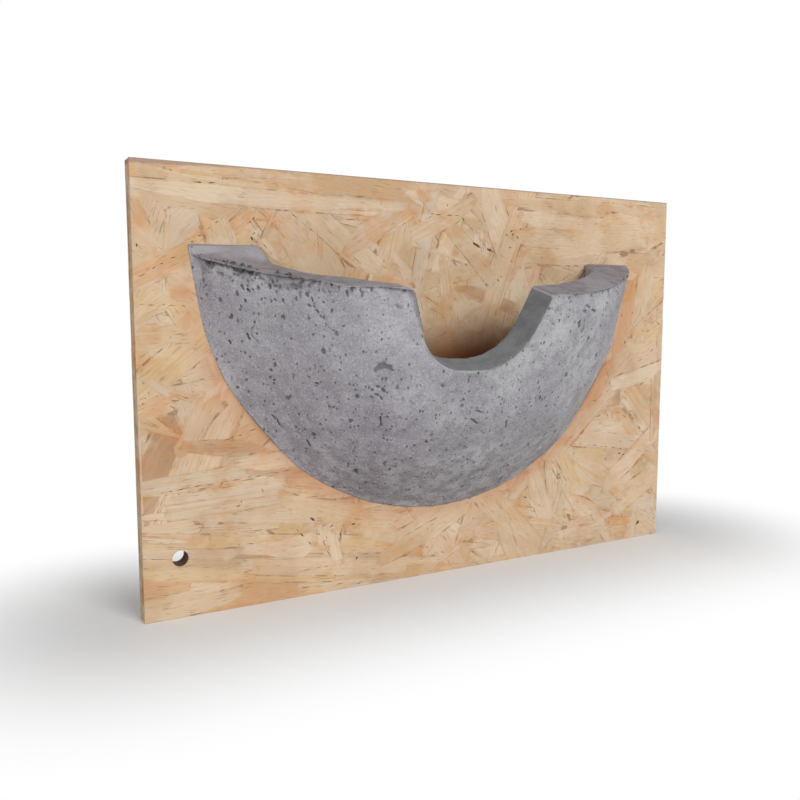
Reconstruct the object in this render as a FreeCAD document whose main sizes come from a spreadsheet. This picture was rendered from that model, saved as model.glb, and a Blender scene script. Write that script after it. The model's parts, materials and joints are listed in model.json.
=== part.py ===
import FreeCAD, Part
import math
import os
import Sketcher

# Swallow nest box: a half-round cast concrete nest bowl on an oriented strand board.
#
# All sizes are in millimetres. +Z is up and the front of the nest looks along -Y. The origin is
# the centre of the backboard's back face, the face that lies on the wall of the building.
# Left and right are as seen from the front, so left is -X.
#
# The bowl is a slice of an ellipsoid. Its flat back stands on the front of the backboard, its rim
# is a plane that falls away from the board, and its cavity is a second, smaller ellipsoid. Four
# screws come from behind through the board into nylon plugs cast in the bowl's back.

# Two lengths closer than this are taken as equal.
TOLERANCE = 0.001
# Half the mouth of a cut ring, as a share of the pitch of its row.
RING_HALF_MOUTH = 0.4
# Turns in degrees.
FULL_TURN = 360
QUARTER_TURN = 90

doc = FreeCAD.newDocument("SwallowNestBox")
sheet = doc.addObject("Spreadsheet::Sheet", "Sizes")
next_row = 1


def size(alias, value):
    """Write one named value, or one formula on named values, in the next row of the sheet."""
    global next_row
    cell = "B" + str(next_row)
    sheet.set("A" + str(next_row), alias)
    sheet.set(cell, str(value))
    sheet.setAlias(cell, alias)
    next_row = next_row + 1


# Driving sizes of the nest.
SIZES = {
    # Backboard and its one fixing hole, at the lower left.
    "board_width": 300,
    "board_height": 195,
    "board_thickness": 9,
    "wall_hole_diameter": 7,
    "wall_hole_from_left": 16,
    "wall_hole_from_bottom": 26.5,

    # Outer form of the bowl, measured where it stands on the board and at the front of its rim.
    "bowl_left_of_middle": 4,
    "rim_above_board_bottom": 159,
    "rim_fall_angle": 17,
    "bowl_half_width": 124,
    "bowl_reach": 64,
    "bowl_drop": 124.5,
    "bowl_centre_behind": 54.5,
    "bowl_centre_above": 2.5,

    # Concrete wall, as thick at the sides, the front and the bottom as the moulding needs.
    "side_wall": 27.5,
    "front_wall": 16.5,
    "bottom_wall": 20.5,
    "cavity_centre_behind": 10.5,

    # Entrance notch through the front wall: a flat sill between two leaning sides, with a tight
    # round corner at the left and a wide one at the right. It falls outwards, so that rain runs
    # off. The sill's front edge is given from the board and from the rim where it meets the board.
    "entrance_left_of_bowl": 14.9,
    "entrance_sill_width": 40.3,
    "entrance_sill_reach": 54.6,
    "entrance_sill_below_rim": 51.4,
    "entrance_fall_angle": 20,
    "entrance_left_lean": 17,
    "entrance_right_lean": 28.5,
    "entrance_left_corner": 20,
    "entrance_right_corner": 31,
    "entrance_cut_height": 46,

    # Countersunk screws and nylon plugs that hold the bowl to the board.
    "screw_diameter": 3.5,
    "screw_core_diameter": 2.4,
    "screw_head_diameter": 7,
    "screw_head_rim": 0.4,
    "screw_length": 20,
    "screw_tip_length": 3,
    "thread_pitch": 1.6,
    "thread_turns": 5,
    "recess_span": 3.6,
    "recess_width": 0.9,
    "recess_depth": 1.6,
    "plug_diameter": 6,
    "plug_length": 14,
    "plug_floor": 1.5,
    "plug_ridge_depth": 0.4,
    "plug_ridge_pitch": 2,
    "plug_ridges": 5,
    "upper_screw_angle": 25,
    "lower_screw_angle": 60,

    # Clearances, and how far the cutting shapes run past what they cut.
    "screw_clearance": 0.25,
    "plug_clearance": 0.1,
    "head_clearance": 0.2,
    "overrun": 10,
}
for size_name, size_number in SIZES.items():
    size(size_name, size_number)

# Places that follow from the sizes above.
size("board_front", "=-board_thickness")
size("bowl_middle", "=-bowl_left_of_middle")
size("rim_back_height", "=rim_above_board_bottom - board_height / 2")
size("sill_height", "=rim_back_height - entrance_sill_below_rim")
size("left_corner_run", "=entrance_left_corner * tan(45deg - entrance_left_lean * 0.5deg)")
size("right_corner_run", "=entrance_right_corner * tan(45deg - entrance_right_lean * 0.5deg)")
size("form_centre_height", "=rim_back_height + bowl_centre_above")
size("bowl_form_centre", "=board_front + bowl_centre_behind")
size("cavity_form_centre", "=board_front + cavity_centre_behind")
size("cavity_half_width", "=bowl_half_width - side_wall")
size("cavity_reach", "=bowl_reach - front_wall")
size("cavity_drop", "=bowl_drop - bottom_wall")


def ellipsoid_sizes(form):
    """Work out the three radii of the ellipsoid whose centre lies behind the board's front and
    above the rim, and which passes through the rim's end, the rim's front and the form's foot."""
    reach = "({0}_reach + {0}_centre_behind)".format(form)
    drop = "({0}_drop + bowl_centre_above)".format(form)
    behind = "{0}_centre_behind".format(form)
    whole = "({0}^2 * {1}^2 - bowl_centre_above^2 * {2}^2)".format(drop, reach, behind)
    size(form + "_radius_up", "=sqrt({0} / ({1}^2 - {2}^2))".format(whole, reach, behind))
    size(form + "_radius_out", "=sqrt({0} / ({1}^2 - bowl_centre_above^2))".format(whole, drop))
    size(
        form + "_radius_across",
        "={0}_half_width / sqrt(1 - (bowl_centre_above / {0}_radius_up)^2"
        " - ({0}_centre_behind / {0}_radius_out)^2)".format(form),
    )


ellipsoid_sizes("bowl")
ellipsoid_sizes("cavity")

# The plugs sit on an oval in the middle of the concrete: between the cavity's edge on the board
# and the bowl's outside where the plugs end.
size("outside_share", "=sqrt(1 - ((plug_length + bowl_centre_behind) / bowl_radius_out)^2)")
size("inside_share", "=sqrt(1 - (cavity_centre_behind / cavity_radius_out)^2)")
size(
    "plug_oval_across",
    "=(bowl_radius_across * outside_share + cavity_radius_across * inside_share) / 2",
)
size("plug_oval_up", "=(bowl_radius_up * outside_share + cavity_radius_up * inside_share) / 2")
doc.recompute()


def value(alias):
    """Read a named value from the sheet."""
    return float(sheet.get(alias))


def bind(thing, target, formula):
    """Tie a property or a named sketch constraint to the sheet."""
    thing.setExpression(target, formula)


def new_body(label):
    """Start a sub-part, whose label names its file."""
    body = doc.addObject("PartDesign::Body", label)
    body.Label = label
    return body


def origin_plane(body, role):
    """Find one of the body's own origin planes by its role."""
    for feature in body.Origin.OriginFeatures:
        if feature.Role == role:
            return feature
    raise ValueError("no origin plane " + role)


def new_sketch(body, name, role):
    """Attach an empty sketch to one of the body's origin planes."""
    sketch = body.newObject("Sketcher::SketchObject", name)
    sketch.AttachmentSupport = [(origin_plane(body, role), "")]
    sketch.MapMode = "FlatFace"
    return sketch


def pin_point(sketch, name, geometry, position, across, up):
    """Hold one point of a sketch at two formulas, measured from the sketch's origin.

    The point is first held where it is drawn, and the formulas then place it.
    """
    drawn = sketch.getPoint(geometry, position)
    for direction, suffix, formula, start in (
        ("DistanceX", "x", across, drawn.x), ("DistanceY", "y", up, drawn.y),
    ):
        index = sketch.addConstraint(
            Sketcher.Constraint(direction, -1, 1, geometry, position, start)
        )
        label = name + "_" + suffix
        sketch.renameConstraint(index, label)
        bind(sketch, "Constraints." + label, formula)


def draw_outline(sketch, corners):
    """Draw a closed outline of straight lines through named corners, each held by formulas.

    The lines start out anywhere that is not closed or crossed, and the formulas then place them.
    """
    start = FreeCAD.Vector(0, 0, 0)
    count = len(corners)
    for index in range(count):
        step = FreeCAD.Vector(index + 1, index * index + 1, 0)
        sketch.addGeometry(Part.LineSegment(start, step), False)
        start = step
    for index in range(count):
        following = (index + 1) % count
        sketch.addConstraint(Sketcher.Constraint("Coincident", index, 2, following, 1))
    for index, (name, across, up) in enumerate(corners):
        pin_point(sketch, name, index, 1, across, up)


def draw_circle(sketch, name, across, up, radius):
    """Draw a circle held by formulas for its centre and its radius."""
    circle = Part.Circle(FreeCAD.Vector(0, 0, 0), FreeCAD.Vector(0, 0, 1), 1.0)
    geometry = sketch.addGeometry(circle, False)
    pin_point(sketch, name, geometry, 3, across, up)
    index = sketch.addConstraint(Sketcher.Constraint("Radius", geometry, 1.0))
    sketch.renameConstraint(index, name + "_radius")
    bind(sketch, "Constraints." + name + "_radius", radius)


def draw_entrance(sketch):
    """Draw the entrance with its origin at the middle of the sill: sill, sides and two corners."""
    half = value("entrance_sill_width") / 2
    runs = {}
    turns = {}
    sides = (("left", -1), ("right", 1))
    for name, side in sides:
        lean = math.radians(value("entrance_" + name + "_lean"))
        run = value(name + "_corner_run")
        height = value("entrance_cut_height")
        runs[name] = FreeCAD.Vector(side * (half - run), 0, 0)
        turns[name] = (
            FreeCAD.Vector(side * (half + run * math.sin(lean)), run * math.cos(lean), 0),
            FreeCAD.Vector(side * (half + height * math.tan(lean)), height, 0),
            FreeCAD.Vector(side * (half - run), value("entrance_" + name + "_corner"), 0),
        )
    sill = sketch.addGeometry(Part.LineSegment(runs["left"], runs["right"]), False)
    top = sketch.addGeometry(Part.LineSegment(turns["left"][1], turns["right"][1]), False)
    for name, side in sides:
        low, high, centre = turns[name]
        sill_point = 1 if side < 0 else 2
        line = sketch.addGeometry(Part.LineSegment(low, high), False)
        outward = (low - centre).normalize()
        down = FreeCAD.Vector(0, -1, 0)
        middle = centre + (outward + down).normalize() * value("entrance_" + name + "_corner")
        # An arc is drawn against the clock, so the left one starts at the side.
        first, last = (low, runs[name]) if side < 0 else (runs[name], low)
        sill_end, side_end = (2, 1) if side < 0 else (1, 2)
        corner = sketch.addGeometry(Part.Arc(first, middle, last), False)
        sketch.addConstraint(Sketcher.Constraint("Coincident", sill, sill_point, corner, sill_end))
        sketch.addConstraint(Sketcher.Constraint("Coincident", line, 1, corner, side_end))
        sketch.addConstraint(Sketcher.Constraint("Coincident", line, 2, top, sill_point))
        radius = sketch.addConstraint(
            Sketcher.Constraint("Radius", corner, value("entrance_" + name + "_corner"))
        )
        sketch.renameConstraint(radius, name + "_corner_radius")
        bind(
            sketch, "Constraints." + name + "_corner_radius", "Sizes.entrance_" + name + "_corner"
        )
        half_sill = "Sizes.entrance_sill_width / 2"
        run = "Sizes." + name + "_corner_run"
        lean = "(Sizes.entrance_" + name + "_lean * 1deg)"
        cut = "Sizes.entrance_cut_height"
        sign = "-1" if side < 0 else "1"
        pin_point(
            sketch, name + "_sill", sill, sill_point,
            "{0} * ({1} - {2})".format(sign, half_sill, run), "0",
        )
        pin_point(
            sketch, name + "_low", line, 1,
            "{0} * ({1} + {2} * sin{3})".format(sign, half_sill, run, lean),
            "{0} * cos{1}".format(run, lean),
        )
        pin_point(
            sketch, name + "_high", line, 2,
            "{0} * ({1} + {2} * tan{3})".format(sign, half_sill, cut, lean), cut,
        )


def add_pocket(body, name, sketch, depth=None, both_sides=False):
    """Cut a sketch out of the body, to a depth or right through."""
    pocket = body.newObject("PartDesign::Pocket", name)
    pocket.Profile = sketch
    if both_sides:
        pocket.Midplane = True
    if depth is None:
        pocket.Type = "ThroughAll"
    else:
        bind(pocket, "Length", depth)
    doc.recompute()
    return pocket


# The four fixings of the bowl: a name, a side (-1 is left) and the angle below the level line.
FIXINGS = (
    ("upper_left", -1, "Sizes.upper_screw_angle"),
    ("upper_right", 1, "Sizes.upper_screw_angle"),
    ("lower_left", -1, "Sizes.lower_screw_angle"),
    ("lower_right", 1, "Sizes.lower_screw_angle"),
)


def fixing_place(side, angle):
    """Give the formulas for a fixing's place across and up the board."""
    across = "Sizes.bowl_middle + {0} * Sizes.plug_oval_across * cos({1} * 1deg)"
    up = "Sizes.form_centre_height - Sizes.plug_oval_up * sin({0} * 1deg)"
    return across.format(side, angle), up.format(angle)


def make_backboard():
    """A plain rectangle of strand board with the wall hole and four countersunk screw holes."""
    body = new_body("backboard")
    outline = new_sketch(body, "backboard_outline", "XZ_Plane")
    left = "-Sizes.board_width / 2"
    right = "Sizes.board_width / 2"
    bottom = "-Sizes.board_height / 2"
    top = "Sizes.board_height / 2"
    draw_outline(
        outline,
        (
            ("low_left", left, bottom),
            ("low_right", right, bottom),
            ("top_right", right, top),
            ("top_left", left, top),
        ),
    )
    board = body.newObject("PartDesign::Pad", "board_pad")
    board.Profile = outline
    bind(board, "Length", "Sizes.board_thickness")
    doc.recompute()
    board.Reversed = board.Shape.BoundBox.YMax > TOLERANCE
    doc.recompute()

    wall_hole = new_sketch(body, "wall_hole_outline", "XZ_Plane")
    draw_circle(
        wall_hole,
        "wall_hole",
        left + " + Sizes.wall_hole_from_left",
        bottom + " + Sizes.wall_hole_from_bottom",
        "Sizes.wall_hole_diameter / 2",
    )
    add_pocket(body, "wall_hole", wall_hole, both_sides=True)

    screw_holes = new_sketch(body, "screw_hole_outline", "XZ_Plane")
    hole_radius = "Sizes.screw_diameter / 2 + Sizes.screw_clearance"
    for name, side, angle in FIXINGS:
        across, up = fixing_place(side, angle)
        draw_circle(screw_holes, name, across, up, hole_radius)
    drilled = add_pocket(body, "screw_holes", screw_holes, both_sides=True)

    # Each screw hole opens out at 45 degrees at the back, to sink the screw's head.
    back_rims = []
    hole_reach = value("screw_diameter") / 2 + value("screw_clearance")
    for index, edge in enumerate(drilled.Shape.Edges):
        if isinstance(edge.Curve, Part.Circle) and abs(edge.BoundBox.YMin) < TOLERANCE:
            if abs(edge.Curve.Radius - hole_reach) < TOLERANCE:
                back_rims.append("Edge" + str(index + 1))
    countersink = body.newObject("PartDesign::Chamfer", "countersinks")
    countersink.Base = (drilled, back_rims)
    bind(
        countersink,
        "Size",
        "(Sizes.screw_head_diameter - Sizes.screw_diameter) / 2 + Sizes.head_clearance"
        " - Sizes.screw_clearance + Sizes.screw_head_rim",
    )
    doc.recompute()
    return body


def add_form(body, name, kind, form):
    """Add or cut one of the two ellipsoids, centred above the rim and behind the board's front."""
    ellipsoid = body.newObject(kind, name)
    ellipsoid.AttachmentSupport = [(origin_plane(body, "XY_Plane"), "")]
    ellipsoid.MapMode = "FlatFace"
    bind(ellipsoid, "AttachmentOffset.Base.x", "Sizes.bowl_middle")
    bind(ellipsoid, "AttachmentOffset.Base.y", "Sizes." + form + "_form_centre")
    bind(ellipsoid, "AttachmentOffset.Base.z", "Sizes.form_centre_height")
    bind(ellipsoid, "Radius1", "Sizes." + form + "_radius_up")
    bind(ellipsoid, "Radius2", "Sizes." + form + "_radius_across")
    bind(ellipsoid, "Radius3", "Sizes." + form + "_radius_out")
    doc.recompute()
    return ellipsoid


def make_nest_bowl():
    """The cast bowl: outer form, flat back, sloping rim, cavity, entrance and plug sockets."""
    body = new_body("nest_bowl")
    add_form(body, "outer_form", "PartDesign::AdditiveEllipsoid", "bowl")

    # One L-shaped cut leaves what is in front of the board and below the rim.
    trim = new_sketch(body, "trim_outline", "YZ_Plane")
    past_front = "Sizes.board_front - Sizes.bowl_radius_out"
    past_back = "Sizes.bowl_form_centre + Sizes.bowl_radius_out + Sizes.overrun"
    past_top = "Sizes.form_centre_height + Sizes.bowl_radius_up + Sizes.overrun"
    past_bottom = "Sizes.form_centre_height - Sizes.bowl_radius_up - Sizes.overrun"
    far_rim = "Sizes.rim_back_height - Sizes.bowl_radius_out * tan(Sizes.rim_fall_angle * 1deg)"
    draw_outline(
        trim,
        (
            ("rim_back", "Sizes.board_front", "Sizes.rim_back_height"),
            ("back_low", "Sizes.board_front", past_bottom),
            ("behind_low", past_back, past_bottom),
            ("behind_top", past_back, past_top),
            ("front_top", past_front, past_top),
            ("rim_front", past_front, far_rim),
        ),
    )
    add_pocket(body, "back_and_rim", trim, both_sides=True)
    add_form(body, "cavity_form", "PartDesign::SubtractiveEllipsoid", "cavity")

    # The entrance is drawn on a plane through the sill's front edge that leans forward at its top,
    # square to the way in which the entrance falls.
    entrance = new_sketch(body, "entrance_outline", "XZ_Plane")
    entrance.AttachmentOffset = FreeCAD.Placement(
        FreeCAD.Vector(0, 0, 0), FreeCAD.Rotation(FreeCAD.Vector(1, 0, 0), value("entrance_fall_angle"))
    )
    bind(
        entrance, "AttachmentOffset.Base.x", "Sizes.bowl_middle - Sizes.entrance_left_of_bowl"
    )
    bind(entrance, "AttachmentOffset.Base.y", "Sizes.sill_height")
    bind(
        entrance, "AttachmentOffset.Base.z", "Sizes.entrance_sill_reach - Sizes.board_front"
    )
    bind(entrance, "AttachmentOffset.Rotation.Angle", "Sizes.entrance_fall_angle")
    draw_entrance(entrance)
    doc.recompute()
    add_pocket(body, "entrance_notch", entrance, both_sides=True)

    sockets = new_sketch(body, "socket_outline", "XZ_Plane")
    for name, side, angle in FIXINGS:
        across, up = fixing_place(side, angle)
        draw_circle(sockets, name, across, up, "Sizes.plug_diameter / 2 + Sizes.plug_clearance")
    socket_depth = "2 * (Sizes.board_thickness + Sizes.plug_length + Sizes.plug_clearance)"
    add_pocket(body, "plug_sockets", sockets, depth=socket_depth, both_sides=True)
    return body


def place_fixing(body, side, angle, depth):
    """Lay a part modelled along its own Z on a fixing's axis, its top facing the wall."""
    across, up = fixing_place(side, angle)
    body.Placement = FreeCAD.Placement(
        FreeCAD.Vector(0, 0, 0), FreeCAD.Rotation(FreeCAD.Vector(1, 0, 0), -QUARTER_TURN)
    )
    bind(body, "Placement.Base.x", across)
    bind(body, "Placement.Base.y", depth)
    bind(body, "Placement.Base.z", up)


def revolve(body, name, sketch):
    """Turn a half profile once round the body's Z axis."""
    turned = body.newObject("PartDesign::Revolution", name)
    turned.Profile = sketch
    turned.ReferenceAxis = (sketch, ["V_Axis"])
    turned.Angle = FULL_TURN
    doc.recompute()
    return turned


def cut_rings(body, name, outer, depth, first, pitch, count):
    """Cut a row of V-shaped rings into a round body, one below the other along its axis."""
    profile = new_sketch(body, name + "_profile", "XZ_Plane")
    half = "{0} * {1}".format(pitch, RING_HALF_MOUTH)
    past = "{0} + Sizes.plug_clearance".format(outer)
    draw_outline(
        profile,
        (
            ("root", "{0} - {1}".format(outer, depth), first),
            ("lower", past, "{0} - {1}".format(first, half)),
            ("upper", past, "{0} + {1}".format(first, half)),
        ),
    )
    ring = body.newObject("PartDesign::Groove", name)
    ring.Profile = profile
    ring.ReferenceAxis = (profile, ["V_Axis"])
    ring.Angle = FULL_TURN
    doc.recompute()
    row = body.newObject("PartDesign::LinearPattern", name + "_row")
    row.Originals = [ring]
    row.Direction = (profile, ["V_Axis"])
    row.Reversed = True
    bind(row, "Length", "{0} * ({1} - 1)".format(pitch, count))
    bind(row, "Occurrences", count)
    body.Tip = row
    doc.recompute()
    return row


def make_screw(label, side, angle):
    """A countersunk screw with a cross recess, its head just under the board's back face."""
    body = new_body(label)
    profile = new_sketch(body, label + "_profile", "XZ_Plane")
    head = "Sizes.screw_head_diameter / 2"
    shank = "Sizes.screw_diameter / 2"
    neck = "-Sizes.screw_head_rim - ({0} - {1})".format(head, shank)
    tip = "-Sizes.screw_length"
    draw_outline(
        profile,
        (
            ("top_middle", "0", "0"),
            ("tip", "0", tip),
            ("tip_shoulder", shank, tip + " + Sizes.screw_tip_length"),
            ("neck", shank, neck),
            ("head_low", head, "-Sizes.screw_head_rim"),
            ("head_top", head, "0"),
        ),
    )
    revolve(body, label + "_blank", profile)
    thread_end = tip + " + Sizes.screw_tip_length + Sizes.thread_pitch * Sizes.thread_turns"
    thread_depth = "(Sizes.screw_diameter - Sizes.screw_core_diameter) / 2"
    cut_rings(
        body, label + "_thread", shank, thread_depth, thread_end,
        "Sizes.thread_pitch", "Sizes.thread_turns",
    )

    recess = new_sketch(body, label + "_recess_outline", "XY_Plane")
    long_half = "Sizes.recess_span / 2"
    short_half = "Sizes.recess_width / 2"
    cross = (
        (long_half, short_half), (short_half, short_half), (short_half, long_half),
        ("-" + short_half, long_half), ("-" + short_half, short_half), ("-" + long_half, short_half),
        ("-" + long_half, "-" + short_half), ("-" + short_half, "-" + short_half),
        ("-" + short_half, "-" + long_half),
        (short_half, "-" + long_half), (short_half, "-" + short_half),
        (long_half, "-" + short_half),
    )
    corners = []
    for index, (across, up) in enumerate(cross):
        corners.append(("corner" + str(index), across, up))
    draw_outline(recess, corners)
    add_pocket(body, label + "_recess", recess, depth="Sizes.recess_depth")
    place_fixing(body, side, angle, "-Sizes.head_clearance")
    return body


def make_plug(label, side, angle):
    """A closed nylon plug with holding ridges, its mouth level with the bowl's flat back."""
    body = new_body(label)
    profile = new_sketch(body, label + "_profile", "XZ_Plane")
    outer = "Sizes.plug_diameter / 2"
    bore = "Sizes.screw_diameter / 2 + Sizes.plug_clearance"
    draw_outline(
        profile,
        (
            ("bore_mouth", bore, "0"),
            ("bore_floor", bore, "-Sizes.plug_length + Sizes.plug_floor"),
            ("floor_middle", "0", "-Sizes.plug_length + Sizes.plug_floor"),
            ("end_middle", "0", "-Sizes.plug_length"),
            ("end_outer", outer, "-Sizes.plug_length"),
            ("mouth_outer", outer, "0"),
        ),
    )
    revolve(body, label + "_blank", profile)
    cut_rings(
        body, label + "_ridges", outer, "Sizes.plug_ridge_depth", "-Sizes.plug_ridge_pitch",
        "Sizes.plug_ridge_pitch", "Sizes.plug_ridges",
    )
    place_fixing(body, side, angle, "Sizes.board_front")
    return body


parts = [make_backboard(), make_nest_bowl()]
for fixing_name, fixing_side, fixing_angle in FIXINGS:
    parts.append(make_screw("bowl_screw_" + fixing_name, fixing_side, fixing_angle))
    parts.append(make_plug("bowl_plug_" + fixing_name, fixing_side, fixing_angle))
doc.recompute()

for item in doc.Objects:
    if "Invalid" in item.State or "Error" in item.State:
        raise RuntimeError(item.Name + " failed: " + str(item.State))
for part in parts:
    if part.Shape.isNull() or not part.Shape.isValid():
        raise RuntimeError(part.Label + " has no valid shape")

os.makedirs("parts", exist_ok=True)
for part in parts:
    box = part.Shape.optimalBoundingBox(False, False)
    print(
        part.Label, "solids", len(part.Shape.Solids), "volume", round(part.Shape.Volume, 1),
        "x", round(box.XMin, 1), round(box.XMax, 1), "y", round(box.YMin, 1), round(box.YMax, 1),
        "z", round(box.ZMin, 1), round(box.ZMax, 1),
    )
    part.Shape.exportStep(os.path.join("parts", part.Label + ".step"))
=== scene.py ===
# %% [markdown]
# # A swallow nest box
#
# The real object is a half-round bowl of cast concrete on a rectangle of oriented strand board.
# Swallows and martins fly in through the rounded notch in the rim. This script dresses the measured
# model of it: the board gets its pressed strands, the bowl its worn, pitted casting, and the
# screws and plugs behind the bowl their metal and nylon. Lengths are in metres, +Z is up and the
# front of the nest looks along -Y.
#
# The frame is loaded first, because every size and place below is read from it.

# %% Load the frame
import json
import math
import random

import bpy
import numpy as np
from mathutils import Matrix, Vector, noise
from mathutils.geometry import delaunay_2d_cdt


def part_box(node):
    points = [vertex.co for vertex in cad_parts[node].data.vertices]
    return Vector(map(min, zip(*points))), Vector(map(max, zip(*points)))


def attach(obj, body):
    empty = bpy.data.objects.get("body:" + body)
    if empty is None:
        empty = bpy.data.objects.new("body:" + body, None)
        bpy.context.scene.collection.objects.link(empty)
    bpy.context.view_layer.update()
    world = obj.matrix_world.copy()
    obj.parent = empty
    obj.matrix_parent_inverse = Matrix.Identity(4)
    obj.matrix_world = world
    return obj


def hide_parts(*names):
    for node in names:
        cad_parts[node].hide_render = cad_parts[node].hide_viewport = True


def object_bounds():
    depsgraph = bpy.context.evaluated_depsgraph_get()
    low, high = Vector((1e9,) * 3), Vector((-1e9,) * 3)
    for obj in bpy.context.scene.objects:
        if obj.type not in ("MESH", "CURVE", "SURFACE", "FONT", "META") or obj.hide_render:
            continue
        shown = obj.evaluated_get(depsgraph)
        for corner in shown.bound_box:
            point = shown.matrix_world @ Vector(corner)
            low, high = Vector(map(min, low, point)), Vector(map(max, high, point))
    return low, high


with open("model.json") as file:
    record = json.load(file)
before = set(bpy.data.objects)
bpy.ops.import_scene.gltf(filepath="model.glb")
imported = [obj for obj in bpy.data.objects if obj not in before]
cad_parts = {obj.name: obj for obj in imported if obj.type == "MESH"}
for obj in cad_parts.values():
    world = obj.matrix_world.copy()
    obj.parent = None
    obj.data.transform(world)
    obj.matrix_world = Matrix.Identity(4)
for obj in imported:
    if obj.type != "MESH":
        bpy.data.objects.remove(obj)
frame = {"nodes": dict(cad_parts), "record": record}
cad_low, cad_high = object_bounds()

print("nodes:", ", ".join(sorted(frame["nodes"])))
print("box:", [round(c, 4) for c in (*cad_low, *cad_high)])

# %% [markdown]
# ## Units and small helpers
#
# Real sizes read best in millimetres and colours as they are measured on a screen, so two
# helpers turn them into metres and into the light-linear numbers that materials work with.

# %% Units and colours
MM = 0.001


def paint(red, green, blue):
    """A colour given as it looks on a screen, from 0 to 255, as linear light."""
    def linear(level):
        share = level / 255
        return share / 12.92 if share <= 0.04045 else ((share + 0.055) / 1.055) ** 2.4
    return linear(red), linear(green), linear(blue), 1.0


print("a middle grey of the screen in linear light:", round(paint(128, 128, 128)[0], 3))

# %% [markdown]
# ## Selection
#
# Operators act on all that is selected, and loading leaves the nodes selected. Each step
# therefore selects its own piece, or some of its vertices, and nothing else.

# %% Selection helpers


def pick_only(thing):
    """Select one object, make it active and leave the rest alone."""
    if bpy.context.object and bpy.context.object.mode != "OBJECT":
        bpy.ops.object.mode_set(mode="OBJECT")
    bpy.ops.object.select_all(action="DESELECT")
    thing.select_set(True)
    bpy.context.view_layer.objects.active = thing


def apply_all(thing):
    """Apply every modifier of an object, in the order in which they were added."""
    pick_only(thing)
    for modifier in list(thing.modifiers):
        bpy.ops.object.modifier_apply(modifier=modifier.name)


def pick_vertices(thing, picked):
    """Open an object in edit mode with only some vertices and what lies between them selected."""
    pick_only(thing)
    bpy.context.tool_settings.mesh_select_mode = (True, False, False)
    mesh = thing.data
    ends = np.zeros(len(mesh.edges) * 2, int)
    mesh.edges.foreach_get("vertices", ends)
    corners = np.zeros(len(mesh.loops), int)
    mesh.loops.foreach_get("vertex_index", corners)
    starts = np.zeros(len(mesh.polygons), int)
    mesh.polygons.foreach_get("loop_start", starts)
    mesh.vertices.foreach_set("select", picked)
    mesh.edges.foreach_set("select", picked[ends.reshape(-1, 2)].all(axis=1))
    mesh.polygons.foreach_set("select", np.logical_and.reduceat(picked[corners], starts))
    bpy.ops.object.mode_set(mode="EDIT")


pick_only(frame["nodes"]["backboard"])
print("selected:", [thing.name for thing in bpy.context.selected_objects])

# %% [markdown]
# ## Vertices as arrays
#
# The bowl's skin has more than a hundred thousand vertices. They are read, moved and written
# back as arrays with one row for each vertex, which is far quicker than one at a time.

# %% Array helpers


def vertex_rows(thing, key="co"):
    """The places or normals of all vertices as an array of rows."""
    flat = np.zeros(len(thing.data.vertices) * 3)
    thing.data.vertices.foreach_get(key, flat)
    return flat.reshape(-1, 3)


def move_vertices(thing, places):
    """Put all vertices at new places."""
    thing.data.vertices.foreach_set("co", places.astype(np.float32).ravel())
    thing.data.update()


def smooth_step(values, low, high):
    """0 below low, 1 above high and an eased slope in between."""
    share = np.clip((values - low) / (high - low), 0, 1)
    return share * share * (3 - 2 * share)


def remember(mesh, name, kind, rows, key):
    """Keep one value for each vertex under a name that a material can read."""
    attribute = mesh.attributes.new(name, kind, "POINT")
    attribute.data.foreach_set(key, np.array(rows, np.float32).ravel())


print("an eased step:", [round(float(v), 2) for v in smooth_step(np.linspace(0, 1, 5), 0, 1)])

# %% [markdown]
# ## Camera
#
# The photograph was taken from the left of the nest, a little above its middle. The camera comes
# first, because the marks that stand out most on the bowl are placed by where they show in the
# photograph: a ray through that point of the picture finds their place on the bowl.

# %% Camera
CAMERA_PLACE = Vector((-0.2182, -0.3599, 0.0364))
CAMERA_AIM = Vector((-0.0255, -0.0090, -0.0075))
LENS_LENGTH = 37.13
NEAREST_SEEN = 10 * MM
# The photograph is a square of this many pixels.
PICTURE_SIZE = 800

camera_data = bpy.data.cameras.new("camera")
camera_data.lens = LENS_LENGTH
camera_data.clip_start = NEAREST_SEEN
camera = bpy.data.objects.new("camera", camera_data)
camera.location = CAMERA_PLACE
camera_turn = (CAMERA_AIM - CAMERA_PLACE).to_track_quat("-Z", "Y")
camera.rotation_euler = camera_turn.to_euler()
bpy.context.scene.collection.objects.link(camera)
bpy.context.scene.camera = camera
bpy.context.scene.view_settings.view_transform = "Standard"


def sight(across, down):
    """The direction in which a point of the photograph lies, counted in its pixels."""
    reach = camera_data.sensor_width / camera_data.lens
    right = (across / PICTURE_SIZE - 0.5) * reach
    up = (0.5 - down / PICTURE_SIZE) * reach
    return (camera_turn @ Vector((right, up, -1))).normalized()


print("camera looks along", [round(c, 3) for c in sight(PICTURE_SIZE / 2, PICTURE_SIZE / 2)])

# %% [markdown]
# ## The board: its core
#
# Strand board is pressed from thin strands of wood and dark resin. Seen close, the strands lie on
# and over each other, and dark slits show where none of them covers the core. It could be one
# block with a painted pattern, but the strands have real edges that catch the light. So the
# board is a dark core, slightly smaller than the finished board, with some two thousand thin
# strands laid on its two faces and along its four saw cuts.
#
# The core starts as a cube at the board's place. It loses a small margin all round, and the wall
# hole and the four countersunk screw holes are cut with solids of the same size as in the frame.

# %% Board core
board_low, board_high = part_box("backboard")
board_size = board_high - board_low
FACE_MARGIN = 0.55 * MM
EDGE_MARGIN = 0.35 * MM
HOLE_CORNERS = 40
SCREW_HOLE_RADIUS = 2.0 * MM
COUNTERSINK_RADIUS = 4.1 * MM
COUNTERSINK_DEPTH = 2.1 * MM
OVERRUN = 5 * MM

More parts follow.
